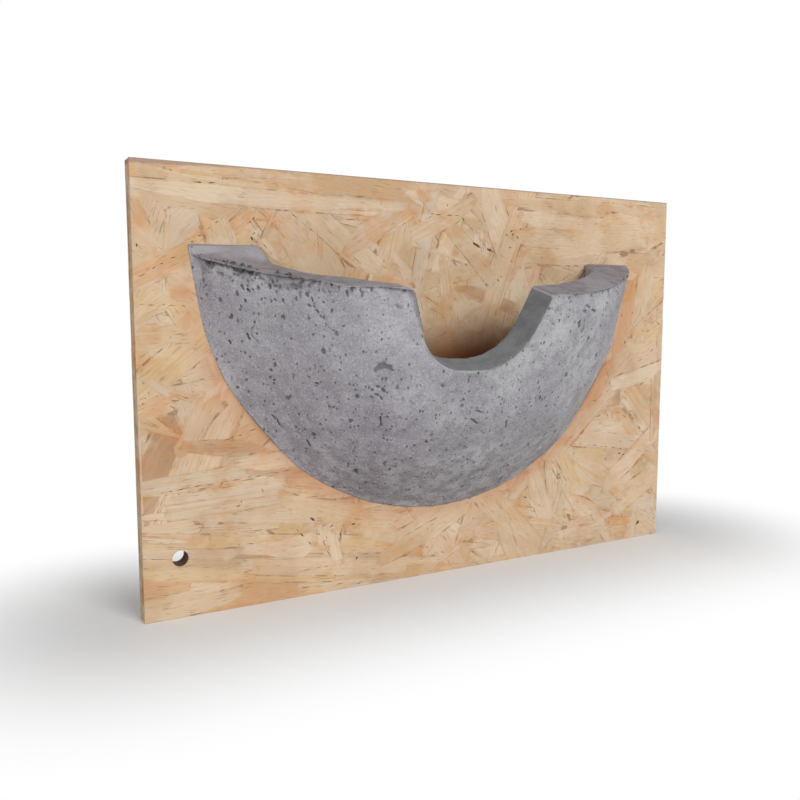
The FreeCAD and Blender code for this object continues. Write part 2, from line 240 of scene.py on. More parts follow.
wall_hole = next(m for m in frame["record"]["mounts"] if m["name"] == "wall_screw_hole")
wall_hole_place = Vector(wall_hole["pos_m"])
wall_hole_radius = wall_hole["dims"]["r_mm"] * MM

screw_names = sorted(n for n in frame["nodes"] if n.startswith("bowl_screw"))
plug_names = sorted(n for n in frame["nodes"] if n.startswith("bowl_plug"))
screw_places = []
for name in screw_names:
    low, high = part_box(name)
    screw_places.append((low + high) / 2)


def add_cutter(place, radius, length, top_radius=None):
    """A round solid along Y, straight or tapered, to cut with."""
    bpy.ops.object.select_all(action="DESELECT")
    bpy.ops.mesh.primitive_cone_add(
        vertices=HOLE_CORNERS, radius1=radius, radius2=top_radius or radius, depth=length,
        location=place, rotation=(math.pi / 2, 0, 0),
    )
    cutter = bpy.context.object
    bpy.ops.object.transform_apply(location=True, rotation=True, scale=True)
    return cutter


def cut_with(thing, cutter):
    """Take one solid out of another and remove the cutter."""
    cut = thing.modifiers.new("cut", "BOOLEAN")
    cut.operation = "DIFFERENCE"
    cut.solver = "EXACT"
    cut.object = cutter
    apply_all(thing)
    bpy.data.objects.remove(cutter)


def make_board_core():
    """The block of pressed wood under the strands, with its holes, dark partly as painted shade."""
    bpy.ops.object.select_all(action="DESELECT")
    middle = (board_low + board_high) / 2
    bpy.ops.mesh.primitive_cube_add(size=1, location=middle)
    core = bpy.context.object
    core.name = "strand_board"
    bpy.ops.object.mode_set(mode="EDIT")
    bpy.ops.mesh.select_all(action="SELECT")
    bpy.ops.transform.resize(value=(
        board_size.x - 2 * EDGE_MARGIN,
        board_size.y - 2 * FACE_MARGIN,
        board_size.z - 2 * EDGE_MARGIN,
    ))
    bpy.ops.object.mode_set(mode="OBJECT")
    bpy.ops.object.transform_apply(location=True, rotation=True, scale=True)

    through = board_size.y + 2 * OVERRUN
    cut_with(core, add_cutter(wall_hole_place, wall_hole_radius, through))
    for place in screw_places:
        cut_with(core, add_cutter((place.x, middle.y, place.z), SCREW_HOLE_RADIUS, through))
        # The countersink's cone is as wide as its hole where it ends, inside the board.
        cone_middle = board_high.y - COUNTERSINK_DEPTH / 2
        cut_with(core, add_cutter(
            (place.x, cone_middle, place.z), SCREW_HOLE_RADIUS, COUNTERSINK_DEPTH,
            COUNTERSINK_RADIUS,
        ))
    return core


board = make_board_core()
print("core faces:", len(board.data.polygons))

# %% [markdown]
# ## The board: one strand
#
# A strand is a thin slice of wood, 10 to 30 mm wide and up to about 130 mm long. Its long edges
# follow the grain and wander a little. Its ends are torn: they run out to a slanting point or
# break off in short teeth. The outline below draws that, and each strand is a closed sheet of
# its own, so that its edge is a real edge. What lies over the board's rim, over a hole or over a
# void is cut away with a triangulation that keeps both outlines.

# %% Strand outline
# The distance between corners along a strand's sides, in millimetres.
STRAND_STEP = 12.0
END_TEETH = 3
# From here on to its ends a strand narrows, as a share of half its length.
TAPER_START = 0.55
TAPER_CURVE = 1.5


def strand_outline(length, width, chance):
    """Corners of a strand round its own middle, in millimetres along and across its grain."""
    steps = max(3, round(length / STRAND_STEP))
    bend = chance.uniform(-0.02, 0.02) * length
    tapers = (chance.uniform(0.0, 0.75), chance.uniform(0.0, 0.75))
    points = (chance.uniform(-0.4, 0.4), chance.uniform(-0.4, 0.4))
    sides = []
    for side in (-1, 1):
        row = []
        phase = chance.uniform(0, 2 * math.pi)
        for index in range(steps + 1):
            place = 2 * index / steps - 1
            end = 0 if place < 0 else 1
            near_end = max(0.0, (abs(place) - TAPER_START) / (1 - TAPER_START)) ** TAPER_CURVE
            narrow = 1 - tapers[end] * near_end
            drift = points[end] * width * near_end
            wave = (0.05 * math.sin(3 * place + phase) + chance.uniform(-0.05, 0.05)) * width
            across = side * width / 2 * narrow + wave * narrow + drift + bend * place ** 2
            row.append((place * length / 2, across))
        sides.append(row)
    lower, upper = sides

    def torn_end(start, finish, outward):
        teeth = []
        reach = abs(finish[1] - start[1])
        slant = chance.uniform(-0.7, 0.7) * reach
        for index in range(1, END_TEETH + 1):
            share = index / (END_TEETH + 1)
            across = start[1] + (finish[1] - start[1]) * share
            jut = outward * chance.uniform(0.0, 0.4) * reach + slant * (share - 0.5)
            teeth.append((start[0] + jut, across))
        return teeth

    right = torn_end(lower[-1], upper[-1], 1)
    left = torn_end(upper[0], lower[0], -1)
    return lower + right + upper[::-1] + left


# %% [markdown]
# ## The board: laying strands
#
# A side of the board is a rectangle with a corner, two directions and an outward direction, so
# the same code lays strands on the front, on the back and along the saw cuts. A strand is cut
# off near the side's outline, each at its own small distance from it.

# %% One side of the board
# How far inside the side's outline a strand may stop, least and most, in millimetres.
FACE_TRIM = (0.02, 0.12)
EDGE_TRIM = (0.10, 0.28)


class Side:
    """One flat side of the board, with what is cut out of it, in millimetres on that side."""

    def __init__(self, corner, across, up, outward, width, height, trim):
        self.corner = Vector(corner)
        self.across = across
        self.up = up
        self.outward = outward
        self.trim = trim
        self.width = width / MM
        self.height = height / MM
        self.holes = []

    def place(self, right, above, depth):
        """A point on the side, and depth metres under it, in the frame."""
        return self.corner + self.across * right * MM + self.up * above * MM - self.outward * depth

    def cut_out(self, outline):
        """Leave an outline free of strands."""
        middle = sum((Vector(point) for point in outline), Vector((0, 0))) / len(outline)
        reach = max((Vector(point) - middle).length for point in outline)
        self.holes.append((outline, middle, reach))


x_axis, y_axis, z_axis = Vector((1, 0, 0)), Vector((0, 1, 0)), Vector((0, 0, 1))
back_corner = (board_low.x, board_high.y, board_low.z)
right_corner = (board_high.x, board_low.y, board_low.z)
top_corner = (board_low.x, board_low.y, board_high.z)
face = (board_size.x, board_size.z, FACE_TRIM)
upright_cut = (board_size.z, board_size.y, EDGE_TRIM)
level_cut = (board_size.x, board_size.y, EDGE_TRIM)

front = Side(board_low, x_axis, z_axis, -y_axis, *face)
back = Side(back_corner, x_axis, z_axis, y_axis, *face)
left_edge = Side(board_low, z_axis, y_axis, -x_axis, *upright_cut)
right_edge = Side(right_corner, z_axis, y_axis, x_axis, *upright_cut)
bottom_edge = Side(board_low, x_axis, y_axis, -z_axis, *level_cut)
top_edge = Side(top_corner, x_axis, y_axis, z_axis, *level_cut)
print("front of", round(front.width), "by", round(front.height), "mm")

# %% [markdown]
# ## The board: round holes in its faces
#
# The strands stop at the wall hole and at the four screw holes, which are countersunk behind.

# %% Holes in the front and the back


def ring(place, radius):
    """A round outline on the front or back of the board, in millimetres."""
    points = []
    for index in range(HOLE_CORNERS):
        turn = 2 * math.pi * index / HOLE_CORNERS
        points.append((
            (place.x - board_low.x + radius * math.cos(turn)) / MM,
            (place.z - board_low.z + radius * math.sin(turn)) / MM,
        ))
    return points


for side in (front, back):
    side.cut_out(ring(wall_hole_place, wall_hole_radius))
for place in screw_places:
    front.cut_out(ring(place, SCREW_HOLE_RADIUS))
    back.cut_out(ring(place, COUNTERSINK_RADIUS))
round_holes = len(front.holes) + len(back.holes)
print("round holes in the two faces:", round_holes)

# %% [markdown]
# ## The board: a mat of strands
#
# All the strands become one mesh in the end, so they are collected as one list of vertices and
# faces. The outline of a strand, the side's own outline and the holes go into one
# triangulation, and the triangles inside the strand and the side but in no hole are kept. Each
# vertex keeps three things for the material: where it lies along and across its own strand,
# half the strand's length and width, and the strand's tone.

# %% Laying one strand
STRAND_THICKNESS = 0.75 * MM
# The most that a strand tilts, as a slope, and that it stops short of a hole, as a share.
STRAND_TILT = 0.0008
HOLE_GROWTH = 0.05
SAME_POINT = 1e-9


def cut_to_side(outline, centre, reach, side, margin, growth):
    """The points and triangles of an outline that lie on a side and in none of its holes."""
    far_right = side.width - margin
    far_up = side.height - margin
    rim = [(margin, margin), (far_right, margin), (far_right, far_up), (margin, far_up)]
    loops = [outline, [Vector(point) for point in rim]]
    for hole, middle, hole_reach in side.holes:
        if (middle - centre).length < reach + hole_reach:
            loops.append([middle + (Vector(point) - middle) * growth for point in hole])
    points = []
    polygons = []
    for loop in loops:
        polygons.append(list(range(len(points), len(points) + len(loop))))
        points.extend(loop)
    flat, _, triangles, _, _, owners = delaunay_2d_cdt(points, [], polygons, 0, SAME_POINT)
    kept = []
    for triangle, owner in zip(triangles, owners):
        if 0 in owner and 1 in owner and max(owner) < 2:
            kept.append(triangle)
    return flat, kept


def open_edges(triangles):
    """The edges that only one triangle has, each in that triangle's direction."""
    edges = {}
    for a, b, c in triangles:
        for start, end in ((a, b), (b, c), (c, a)):
            if (end, start) in edges:
                del edges[(end, start)]
            else:
                edges[(start, end)] = True
    return list(edges)


class StrandMat:
    """All the strands laid so far, as one list of vertices and faces with what they remember."""

    def __init__(self):
        self.places = []
        self.faces = []
        self.along = []
        self.half = []
        self.tone = []
        self.count = 0

    def lay(self, side, right, above, angle, length, width, depth, tone, chance):
        """Lay one strand on a side, its middle right and above the side's corner."""
        # No two strands stop at the very same place, or their cut sides would fall together.
        margin = chance.uniform(*side.trim)
        growth = 1 + chance.uniform(0, HOLE_GROWTH)
        turn = Matrix.Rotation(math.radians(angle), 2)
        centre = Vector((right, above))
        local = [Vector(point) for point in strand_outline(length, width, chance)]
        outline = [turn @ point + centre for point in local]
        reach = max(point.length for point in local)
        flat, kept = cut_to_side(outline, centre, reach, side, margin, growth)
        if not kept:
            return
        used = sorted({index for triangle in kept for index in triangle})
        tilt = Vector((chance.uniform(-1, 1), chance.uniform(-1, 1))) * STRAND_TILT
        back_turn = turn.transposed()
        seed = chance.uniform(0, 500)
        number = {}
        for bottom in (0, 1):
            for index in used:
                point = flat[index]
                own = back_turn @ (point - centre)
                sunk = depth + max(-depth, tilt.dot(own) * MM) + bottom * STRAND_THICKNESS
                number[(index, bottom)] = len(self.places)
                self.places.append(side.place(point.x, point.y, sunk))
                self.along.append((own.x, own.y, seed))
                self.half.append((length / 2, width / 2, bottom))
                self.tone.append(tone)
        for a, b, c in kept:
            self.faces.append([number[(a, 0)], number[(b, 0)], number[(c, 0)]])
            self.faces.append([number[(c, 1)], number[(b, 1)], number[(a, 1)]])
        for start, end in open_edges(kept):
            self.faces.append([
                number[(end, 0)], number[(start, 0)], number[(start, 1)], number[(end, 1)],
            ])
        self.count += 1


mat = StrandMat()
print("strands laid so far:", mat.count)

# %% [markdown]
# ## The board: gaps
#
# Gaps are the small dark places where no strand reaches the face. Some are slits of a millimetre
# or less in width between two strands, and a few are open voids. They are cut through all the
# layers, so that the core, painted dark as painted shade, really shows at the bottom. Those that
# stand out on the real front are written down: slits as two ends and a width, voids as a middle,
# an angle, a length and a width, all in millimetres from the board's lower left corner. The rest
# are scattered, many of them round a few places, each written as a middle and a spread.

# %% Gaps that stand out
SLITS = (
    (27, 187.2, 39, 187.4, 0.4), (24, 161.8, 41, 175, 0.5), (69, 177, 85, 165, 0.45),
    (141.6, 180, 159, 180, 0.5), (159, 180, 176, 164, 0.6), (176, 164, 191.6, 158, 0.45),
    (2, 147, 17.5, 156, 0.4), (2, 136, 22, 135.4, 0.35), (10.6, 94, 26.4, 97.8, 0.4),
    (36.4, 76.5, 51.4, 81, 0.45), (8, 56.2, 70, 60.8, 0.45), (70, 32.7, 77, 23.9, 0.7),
    (80.6, 29.4, 87, 16.5, 0.5), (256.4, 104.2, 260.6, 89.4, 0.6), (238, 77.4, 261, 89.4, 0.55),
    (264, 76.5, 275.6, 71, 0.5), (234.7, 59.9, 293, 50.7, 0.4), (234.7, 58, 235.5, 49, 0.5),
    (228.5, 28.5, 229.3, 1.7, 0.35), (201, 33, 229, 13.7, 0.3), (41.4, 29, 53, 28.5, 0.35),
    (40.6, 16.5, 51.4, 16.4, 0.35), (72, 12.3, 86, 12.4, 0.35), (53, 167, 60, 158, 0.35),
)
VOIDS = (
    (168.7, 166.1, -25, 6.0, 2.2), (176.5, 164, -15, 3.2, 1.5), (51, 164.5, -60, 2.2, 1.3),
    (285, 8.5, 50, 3.4, 2.2), (201.8, 33, -30, 2.0, 1.2), (99, 31.3, 10, 1.8, 1.1),
    (100.6, 14.2, 60, 2.4, 1.1), (77.7, 36.4, -35, 3.6, 1.6), (269, 51.5, -20, 3.4, 1.0),
    (272, 50.5, 20, 2.6, 0.9), (2, 160, 80, 2.2, 1.0), (190, 174, 40, 2.4, 0.9),
    (194, 171, -50, 2.6, 1.0), (187, 172, -20, 2.0, 0.8),
)
VOID_GROUPS = (
    (170, 150, 9), (52, 166, 6), (192, 172, 5), (288, 132, 8), (84, 26, 5), (270, 60, 8),
    (140, 24, 10), (8, 96, 5), (176, 138, 9), (160, 30, 8),
)
print("slits and voids:", len(SLITS), len(VOIDS))

# %% [markdown]
# ## The board: cutting the gaps
#
# A slit is a broken line of narrow gaps, because the strands above it touch here and there. A
# void has five uneven corners, as a hole between crossing strands has.

# %% Cut the gaps
SLIT_PIECE = (1.5, 5.0)
SLIT_BREAK = (0.4, 3.5)
SLIT_WANDER = 0.3
VOID_CORNERS = (0.0, 0.2, 0.42, 0.6, 0.83)
SCATTERED_VOIDS = 80
STRAND_SEED = 41


def cut_slit(side, start, finish, width, chance):
    """A broken dark line: a row of narrow gaps from start to finish."""
    run = finish - start
    along = run.normalized()
    square = Vector((-along.y, along.x))
    place = 0.0
    while place < run.length:
        piece = chance.uniform(*SLIT_PIECE)
        first = start + along * place
        first += square * chance.uniform(-SLIT_WANDER, SLIT_WANDER)
        last = start + along * min(place + piece, run.length)
        last += square * chance.uniform(-SLIT_WANDER, SLIT_WANDER)
        middle = (first + last) / 2
        half = square * width * chance.uniform(0.35, 1.0) / 2
        side.cut_out([tuple(p) for p in (first, middle - half, last, middle + half)])
        place += piece + chance.uniform(*SLIT_BREAK)


def cut_void(side, right, above, angle, length, width, chance):
    """An open void with five uneven corners."""
    turn = Matrix.Rotation(math.radians(angle), 2)
    corners = []
    for share in VOID_CORNERS:
        around = 2 * math.pi * share
        reach = chance.uniform(0.6, 1.1) / 2
        corners.append(Vector((math.cos(around) * length, math.sin(around) * width)) * reach)
    side.cut_out([tuple(turn @ corner + Vector((right, above))) for corner in corners])


def scatter_voids(side, count, chance, groups):
    """Cut small gaps into a side, most of them near the given places."""
    for index in range(count):
        right = chance.uniform(2, side.width - 2)
        above = chance.uniform(2, side.height - 2)
        if groups and index % 3:
            right, above, spread = chance.choice(groups)
            right += chance.gauss(0, spread)
            above += chance.gauss(0, spread)
        length = 0.8 + 2.4 * chance.random() ** 2
        cut_void(side, right, above, chance.uniform(0, 180), length, chance.uniform(0.3, 0.8), chance)


chance = random.Random(STRAND_SEED)
for left, low, right, high, width in SLITS:
    cut_slit(front, Vector((left, low)), Vector((right, high)), width, chance)
for gap in VOIDS:
    cut_void(front, *gap, chance)
scatter_voids(front, SCATTERED_VOIDS, chance, VOID_GROUPS)
scatter_voids(back, SCATTERED_VOIDS, chance, ())
print("gaps:", len(front.holes) + len(back.holes) - round_holes)

# %% [markdown]
# ## The board: the pattern of the strands
#
# The strands come from different logs, so they run from pale straw to orange and brown, most of
# them close to one another. Those that stand out most on the real front are written down: the
# place of the middle from the lower left corner, the angle in degrees, the length and width in
# millimetres, and the tone.

# %% Tones and strands that stand out
TONES = {
    "pale": paint(212, 191, 166),
    "straw": paint(202, 179, 149),
    "tan": paint(192, 163, 129),
    "pink": paint(199, 170, 145),
    "yellow": paint(201, 173, 130),
    "grey": paint(196, 180, 160),
    "orange": paint(198, 150, 106),
    "brown": paint(166, 124, 92),
}
COMMON = ("pale", "pale", "straw", "straw", "straw", "tan", "tan", "pink", "yellow", "grey")
RARE = ("orange", "brown")

MAIN_STRANDS = (
    (44, 190.3, 0, 36, 4.5, "yellow"), (62, 182, -1, 134, 8.5, "pale"), (60, 187.4, 0, 12, 3, "orange"),
    (98, 182, -1, 60, 9, "straw"), (196, 190, 0, 90, 7, "straw"), (244, 188, 0, 118, 8, "tan"),
    (226, 180, -1, 64, 9, "pale"), (222, 171, -1, 62, 10, "straw"), (222, 162, 0, 54, 9, "tan"),
    (286, 186, -1, 36, 10, "straw"), (285, 172, -2, 36, 13, "straw"), (285, 159, -1, 36, 13, "tan"),
    (263, 176.5, 43, 50, 10, "pale"), (20, 171, 38, 48, 17, "grey"), (38, 164, 38, 40, 8, "orange"),
    (4, 171, -70, 16, 5, "orange"), (9, 151, 27, 36, 11, "orange"), (12, 141.5, 0, 34, 8, "orange"),
    (66, 172, -45, 24, 9, "pink"), (57, 162.5, -50, 22, 5, "pale"), (92, 167, -37, 50, 12, "straw"),
    (112, 172, 32, 40, 11, "pink"), (139.5, 187, -45, 14, 6, "orange"), (150, 178, 28, 40, 9, "straw"),
    (163, 165, -43, 46, 9, "tan"), (180, 176, -43, 44, 10, "straw"), (128, 152, -44, 24, 7, "pale"),
    (122, 147, -30, 18, 6, "orange"), (200, 158.5, 0, 16, 6, "yellow"), (150, 150, 12, 44, 8, "tan"),
    (176, 140, -18, 40, 8, "brown"), (188, 150, 55, 34, 7, "tan"), (143, 133, -76, 40, 11, "tan"),
    (10, 122, 4, 30, 12, "tan"), (20, 124, 86, 30, 9, "orange"), (14, 107, 10, 44, 10, "straw"),
    (5, 92.7, 20, 18, 10, "orange"), (25, 84, 62, 28, 10, "pink"), (44, 88, 24, 44, 12, "straw"),
    (38, 73.5, -3, 40, 7, "brown"), (28, 60.5, 4, 60, 8, "grey"), (66, 66, 2, 50, 8, "pale"),
    (42, 50, 2, 60, 12, "grey"), (49, 39.6, -2, 46, 10, "tan"), (12, 35, -8, 34, 6, "orange"),
    (60, 27, -8, 120, 9, "yellow"), (46, 18, -8, 110, 8, "tan"), (40, 9, -7, 90, 8, "yellow"),
    (96, 11, -8, 104, 9, "straw"), (120, 4, -4, 100, 6, "tan"), (22, 27, -7, 46, 6, "pink"),
    (80, 40, -14, 40, 12, "straw"), (89, 21, -76, 18, 6, "pale"), (97, 40, -60, 20, 11, "orange"),
    (112, 26, -20, 34, 10, "straw"), (130, 18, 20, 38, 9, "tan"), (150, 24, 52, 36, 8, "straw"),
    (165, 15, -35, 34, 8, "pale"), (178, 26, 20, 40, 8, "tan"), (190, 12, -68, 30, 9, "straw"),
    (201, 11, 85, 26, 11, "grey"), (212, 12.5, 90, 28, 12, "orange"), (223, 14, 92, 34, 10, "straw"),
    (215, 23.5, -34, 38, 3, "pale"), (210, 39, 88, 22, 10, "pink"), (219.5, 42, 95, 22, 8, "pale"),
    (232.5, 45, -60, 24, 10, "yellow"), (238, 24, -24, 34, 12, "pale"), (256, 40, -30, 40, 12, "straw"),
    (284, 40, -52, 30, 11, "tan"), (272, 23.5, -12, 52, 13, "grey"), (270, 11.5, -6, 20, 5, "orange"),
    (246, 8, 2, 40, 9, "straw"), (245.5, 53.5, -10, 26, 9, "tan"), (266, 62, -8, 64, 16, "pale"),
    (243.5, 72.5, 10, 9, 5, "brown"), (271, 86, 35, 24, 10, "brown"), (284, 78, -50, 30, 12, "straw"),
    (276, 103, 14, 44, 8, "pink"), (280, 95, 13, 42, 9, "pale"), (252, 92, 62, 26, 12, "orange"),
    (296, 92, 90, 70, 7, "tan"), (283, 138, 80, 44, 12, "straw"), (288, 118, 30, 30, 12, "yellow"),
)
print("tones:", len(TONES), "strands that stand out:", len(MAIN_STRANDS))

# %% [markdown]
# ## The board: filling the faces
#
# First comes an even grid of deep strands, painted darker as painted shade, so that the core
# shows nowhere but in the gaps. Three random layers follow, painted darker the deeper they lie as
# painted shade, and small slivers between them. Along the top and at the lower left of the real
# board the strands all run level, and elsewhere they lie every way. The strands that stand out
# come last, on top of the others.

# %% Strands of the two faces
# Lengths, widths and depths under the face are in millimetres, least and most.
BASE_PITCH = (17.0, 15.0)
BASE_LENGTH = (45, 90)
BASE_WIDTH = (18, 28)
BASE_DEPTH = (0.30, 0.38)
LAYER_STRANDS = (110, 100, 80)
LAYER_LENGTH = (40, 120)
LAYER_WIDTH = (10, 26)
# The deepest layer's depth, how much higher the top layer lies and how much narrower it is.
DEEP_LAYER = 0.30
LAYER_RISE = 0.22
TOP_NARROWER = 4
SLIVERS = 220
SLIVER_LENGTH = (8, 34)
SLIVER_WIDTH = (0.8, 4)
SLIVER_DEPTH = (0.02, 0.2)
# How far beyond the board's outline the middle of a strand may lie.
BEYOND = 5
RARE_SHARE = 0.07
# How much darker the deepest strands are, as painted shade, and how far a strand's warmth is off
# its log's.
DEEP_SHADE = 0.10
WARM_SPREAD = 0.025
# The back lies on the wall and gets fewer strands.
BACK_SHARE = 0.4
# The strands lie level above the first height, and below the second to the left of the third.
LEVEL_TOP = 172
LEVEL_LOW = 45
LEVEL_LEFT = 130


def vary(tone, chance, spread=0.04, darker=0.0):
    """One strand's own tone, a little off its log's, darker by painted shade or paler by painted light.
    """
    light = 1 - darker + chance.uniform(-spread, spread)
    warm = chance.uniform(-WARM_SPREAD, WARM_SPREAD)
    red, green, blue, _ = TONES[tone]
    return (red * light * (1 + warm), green * light, blue * light * (1 - warm), 1.0)


def strand_angle(right, above, chance):
    """Level near the top and at the lower left, any way elsewhere."""
    if above > LEVEL_TOP or (above < LEVEL_LOW and right < LEVEL_LEFT):
        return chance.gauss(-3, 6)
    return chance.uniform(-90, 90)


def lay_base(mat, side, chance):
    """Cover a face evenly with deep strands, so that the core never shows between them."""
    columns = math.ceil(side.width / BASE_PITCH[0]) + 1
    rows = math.ceil(side.height / BASE_PITCH[1]) + 1
    for column in range(columns):
        for row in range(rows):
            right = (column + chance.uniform(-0.4, 0.4)) * BASE_PITCH[0]
            above = (row + chance.uniform(-0.4, 0.4)) * BASE_PITCH[1]
            length = chance.uniform(*BASE_LENGTH)
            width = chance.uniform(*BASE_WIDTH)
            depth = chance.uniform(*BASE_DEPTH) * MM
            # Painted shade: the deep base strands are darker.
            tone = vary(chance.choice(COMMON), chance, darker=DEEP_SHADE)
            angle = strand_angle(right, above, chance)
            mat.lay(side, right, above, angle, length, width, depth, tone, chance)


def lay_mat(mat, side, chance, amount=1.0):
    """Fill a face of the board with random strands, the deepest layer first."""
    lay_base(mat, side, chance)
    for layer, count in enumerate(LAYER_STRANDS):
        share = layer / (len(LAYER_STRANDS) - 1)
        for _ in range(round(count * amount)):
            right = chance.uniform(-BEYOND, side.width + BEYOND)
            above = chance.uniform(-BEYOND, side.height + BEYOND)
            length = chance.uniform(*LAYER_LENGTH)
            width = chance.uniform(*LAYER_WIDTH) - TOP_NARROWER * share
            depth = (DEEP_LAYER - LAYER_RISE * share + chance.uniform(-0.03, 0.03)) * MM
            kind = chance.choice(RARE if chance.random() < RARE_SHARE else COMMON)
            # Painted shade: the deeper layers are darker.
            tone = vary(kind, chance, darker=DEEP_SHADE * (1 - share))
            angle = strand_angle(right, above, chance)
            mat.lay(side, right, above, angle, length, width, depth, tone, chance)
    for _ in range(round(SLIVERS * amount)):
        right = chance.uniform(0, side.width)
        above = chance.uniform(0, side.height)
        angle = strand_angle(right, above, chance)
        depth = chance.uniform(*SLIVER_DEPTH) * MM
        kind = chance.choice(COMMON * 2 + RARE)
        length = chance.uniform(*SLIVER_LENGTH)
        width = chance.uniform(*SLIVER_WIDTH)
        tone = vary(kind, chance, 0.05, 0.03)
        mat.lay(side, right, above, angle, length, width, depth, tone, chance)


lay_mat(mat, front, chance)
lay_mat(mat, back, chance, BACK_SHARE)
for right, above, angle, length, width, kind in MAIN_STRANDS:
    depth = (0.02 + 0.1 * chance.random()) * MM
    mat.lay(front, right, above, angle, length, width, depth, vary(kind, chance), chance)
print("strands on the two faces:", mat.count)

# %% [markdown]
# ## The board: the saw cuts
#
# A saw cut shows the strands end-on and side-on, as thin broken lines in layers, grey and rubbed
# from the saw. They are the same strands again, only long and less than a millimetre high, laid
# in rows along each edge, and painted paler as painted light on the saw cuts.

# %% Strands along the four edges
EDGE_LAYERS = 11
# Backing strips lie under the rows, so that the core shows nowhere. Their heights are shares.
BACKING_ROWS = (0.2, 0.5, 0.8)
BACKING_STEP = 45
BACKING_LENGTH = 2.2 * BACKING_STEP
BACKING_WIDTH = 6
BACKING_DEPTH = (0.24, 0.30)
EDGE_LENGTH = (7, 46)
EDGE_DEPTH = (0.01, 0.22)
# The height of an edge strand, as a share of its row's.
EDGE_HEIGHT = (0.95, 1.5)
# Painted light: how much paler the strands of the saw cuts are.
EDGE_PAINTED_LIGHT = 0.14
EDGE_TONES = ("pale", "grey", "grey", "straw", "pink", "grey", "tan")


def lay_edge(mat, side, chance):
    """Lay thin strands in rows along one saw cut."""
    pitch = side.height / EDGE_LAYERS
    for row in BACKING_ROWS:
        for step in range(-1, math.ceil(side.width / BACKING_STEP) + 1):
            tone = vary("grey", chance)
            depth = chance.uniform(*BACKING_DEPTH) * MM
            right = step * BACKING_STEP
            above = side.height * row
            mat.lay(side, right, above, 0, BACKING_LENGTH, BACKING_WIDTH, depth, tone, chance)
    for layer in range(EDGE_LAYERS):
        right = -chance.uniform(0, 20)
        while right < side.width:
            length = chance.uniform(*EDGE_LENGTH)
            width = pitch * chance.uniform(*EDGE_HEIGHT)
            above = pitch * (layer + 0.5) + chance.uniform(-0.15, 0.15) * pitch
            depth = chance.uniform(*EDGE_DEPTH) * MM
            kind = chance.choice(EDGE_TONES)
            angle = chance.gauss(0, 0.5)
            # Painted light on the saw cut: its strands are paler.
            tone = vary(kind, chance, 0.06, -EDGE_PAINTED_LIGHT)
            mat.lay(side, right + length / 2, above, angle, length, width, depth, tone, chance)
            right += length * chance.uniform(0.7, 0.95)


for side in (left_edge, right_edge, bottom_edge, top_edge):
    lay_edge(mat, side, chance)
print("strands in all:", mat.count, "faces:", len(mat.faces))

# %% [markdown]
# ## The board: one mesh
#
# The collected strands become a mesh. Its normals are recalculated, so that each closed strand
# faces outwards, and it is joined to the core once both have their finish.

# %% Make the strands one mesh
strand_mesh = bpy.data.meshes.new("strands")
strand_mesh.from_pydata([tuple(p) for p in mat.places], [], mat.faces)
remember(strand_mesh, "strand_place", "FLOAT_VECTOR", mat.along, "vector")
remember(strand_mesh, "strand_half", "FLOAT_VECTOR", mat.half, "vector")
remember(strand_mesh, "strand_tone", "FLOAT_COLOR", mat.tone, "color")
strands = bpy.data.objects.new("strands", strand_mesh)
bpy.context.scene.collection.objects.link(strands)
pick_only(strands)
bpy.ops.object.mode_set(mode="EDIT")
bpy.ops.mesh.select_all(action="SELECT")
bpy.ops.mesh.normals_make_consistent(inside=False)
bpy.ops.object.mode_set(mode="OBJECT")
print("strand mesh:", len(strand_mesh.vertices), "vertices")

# %% [markdown]
# ## The bowl: from the measured form to a casting
#
# The frame holds the bowl's exact form, with a sharp rim. A real casting has soft arrises, a
# slightly lumpy skin from the mould and the trowel, and pits where air and grit broke out. The
# form could be rebuilt from a sphere, but a merged copy of the frame's own mesh is surer to fit.
# A voxel remesh gives it an even skin of small squares, and a smoothing pass rounds its edges.
# From there on the vertices are moved inwards, as a sculptor would.

# %% Even skin for the bowl
VOXEL = 0.8 * MM
SMOOTH_PASSES = 7

bowl_low, bowl_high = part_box("nest_bowl")
bowl_mesh = frame["nodes"]["nest_bowl"].data.copy()
bowl = bpy.data.objects.new("concrete_bowl", bowl_mesh)
bpy.context.scene.collection.objects.link(bowl)
pick_only(bowl)
bpy.ops.object.mode_set(mode="EDIT")
bpy.ops.mesh.select_all(action="SELECT")
bpy.ops.mesh.remove_doubles(threshold=0.001 * MM)
bpy.ops.object.mode_set(mode="OBJECT")
skin = bowl.modifiers.new("skin", "REMESH")
skin.mode = "VOXEL"
skin.voxel_size = VOXEL
soften = bowl.modifiers.new("soften", "SMOOTH")
soften.factor = 0.5
soften.iterations = SMOOTH_PASSES
apply_all(bowl)
print("bowl faces:", len(bowl.data.polygons))

# %% [markdown]
# ## The bowl: uneven rim
#
# The measured form has a smooth, even cavity and a level rim along the board. The real bowl was
# finished by hand. Its wall is thicker at the two ends, its left end stands a little higher, the
# inner arris drops sharply next to it, and at the left the outer arris hangs lower. Each of
# these is a small, smooth move of the vertices. How far out a vertex lies is told by its level,
# which is 1 on the bowl's outside and 0 in the middle of its opening.

# %% How far out and how far ahead each vertex lies
INSIDE_LEVEL = 0.80
OUTSIDE_LEVEL = 0.97
BOWL_MIDDLE = (bowl_low.x + bowl_high.x) / 2
opening_middle = np.array([BOWL_MIDDLE, board_low.y, bowl_high.z])
bowl_reach = np.array([
    (bowl_high.x - bowl_low.x) / 2, board_low.y - bowl_low.y, bowl_high.z - bowl_low.z,
])

places = vertex_rows(bowl)
level = np.linalg.norm((places - opening_middle) / bowl_reach, axis=1)
inner = 1 - smooth_step(level, INSIDE_LEVEL, OUTSIDE_LEVEL)
from_board = board_low.y - places[:, 1]
# Next to the board the inner arris is as high as the end, and just in front it drops sharply.
ahead = smooth_step(from_board, 1 * MM, 6 * MM)
print("vertices on the inside:", int(inner.sum()))

# %% [markdown]
# ## The bowl: thicker ends
#
# First the inside of the wall moves inwards at both ends, most at the rim.

# %% Thicker ends
LEFT_END_IN = 7.0 * MM
RIGHT_END_IN = 3.0 * MM
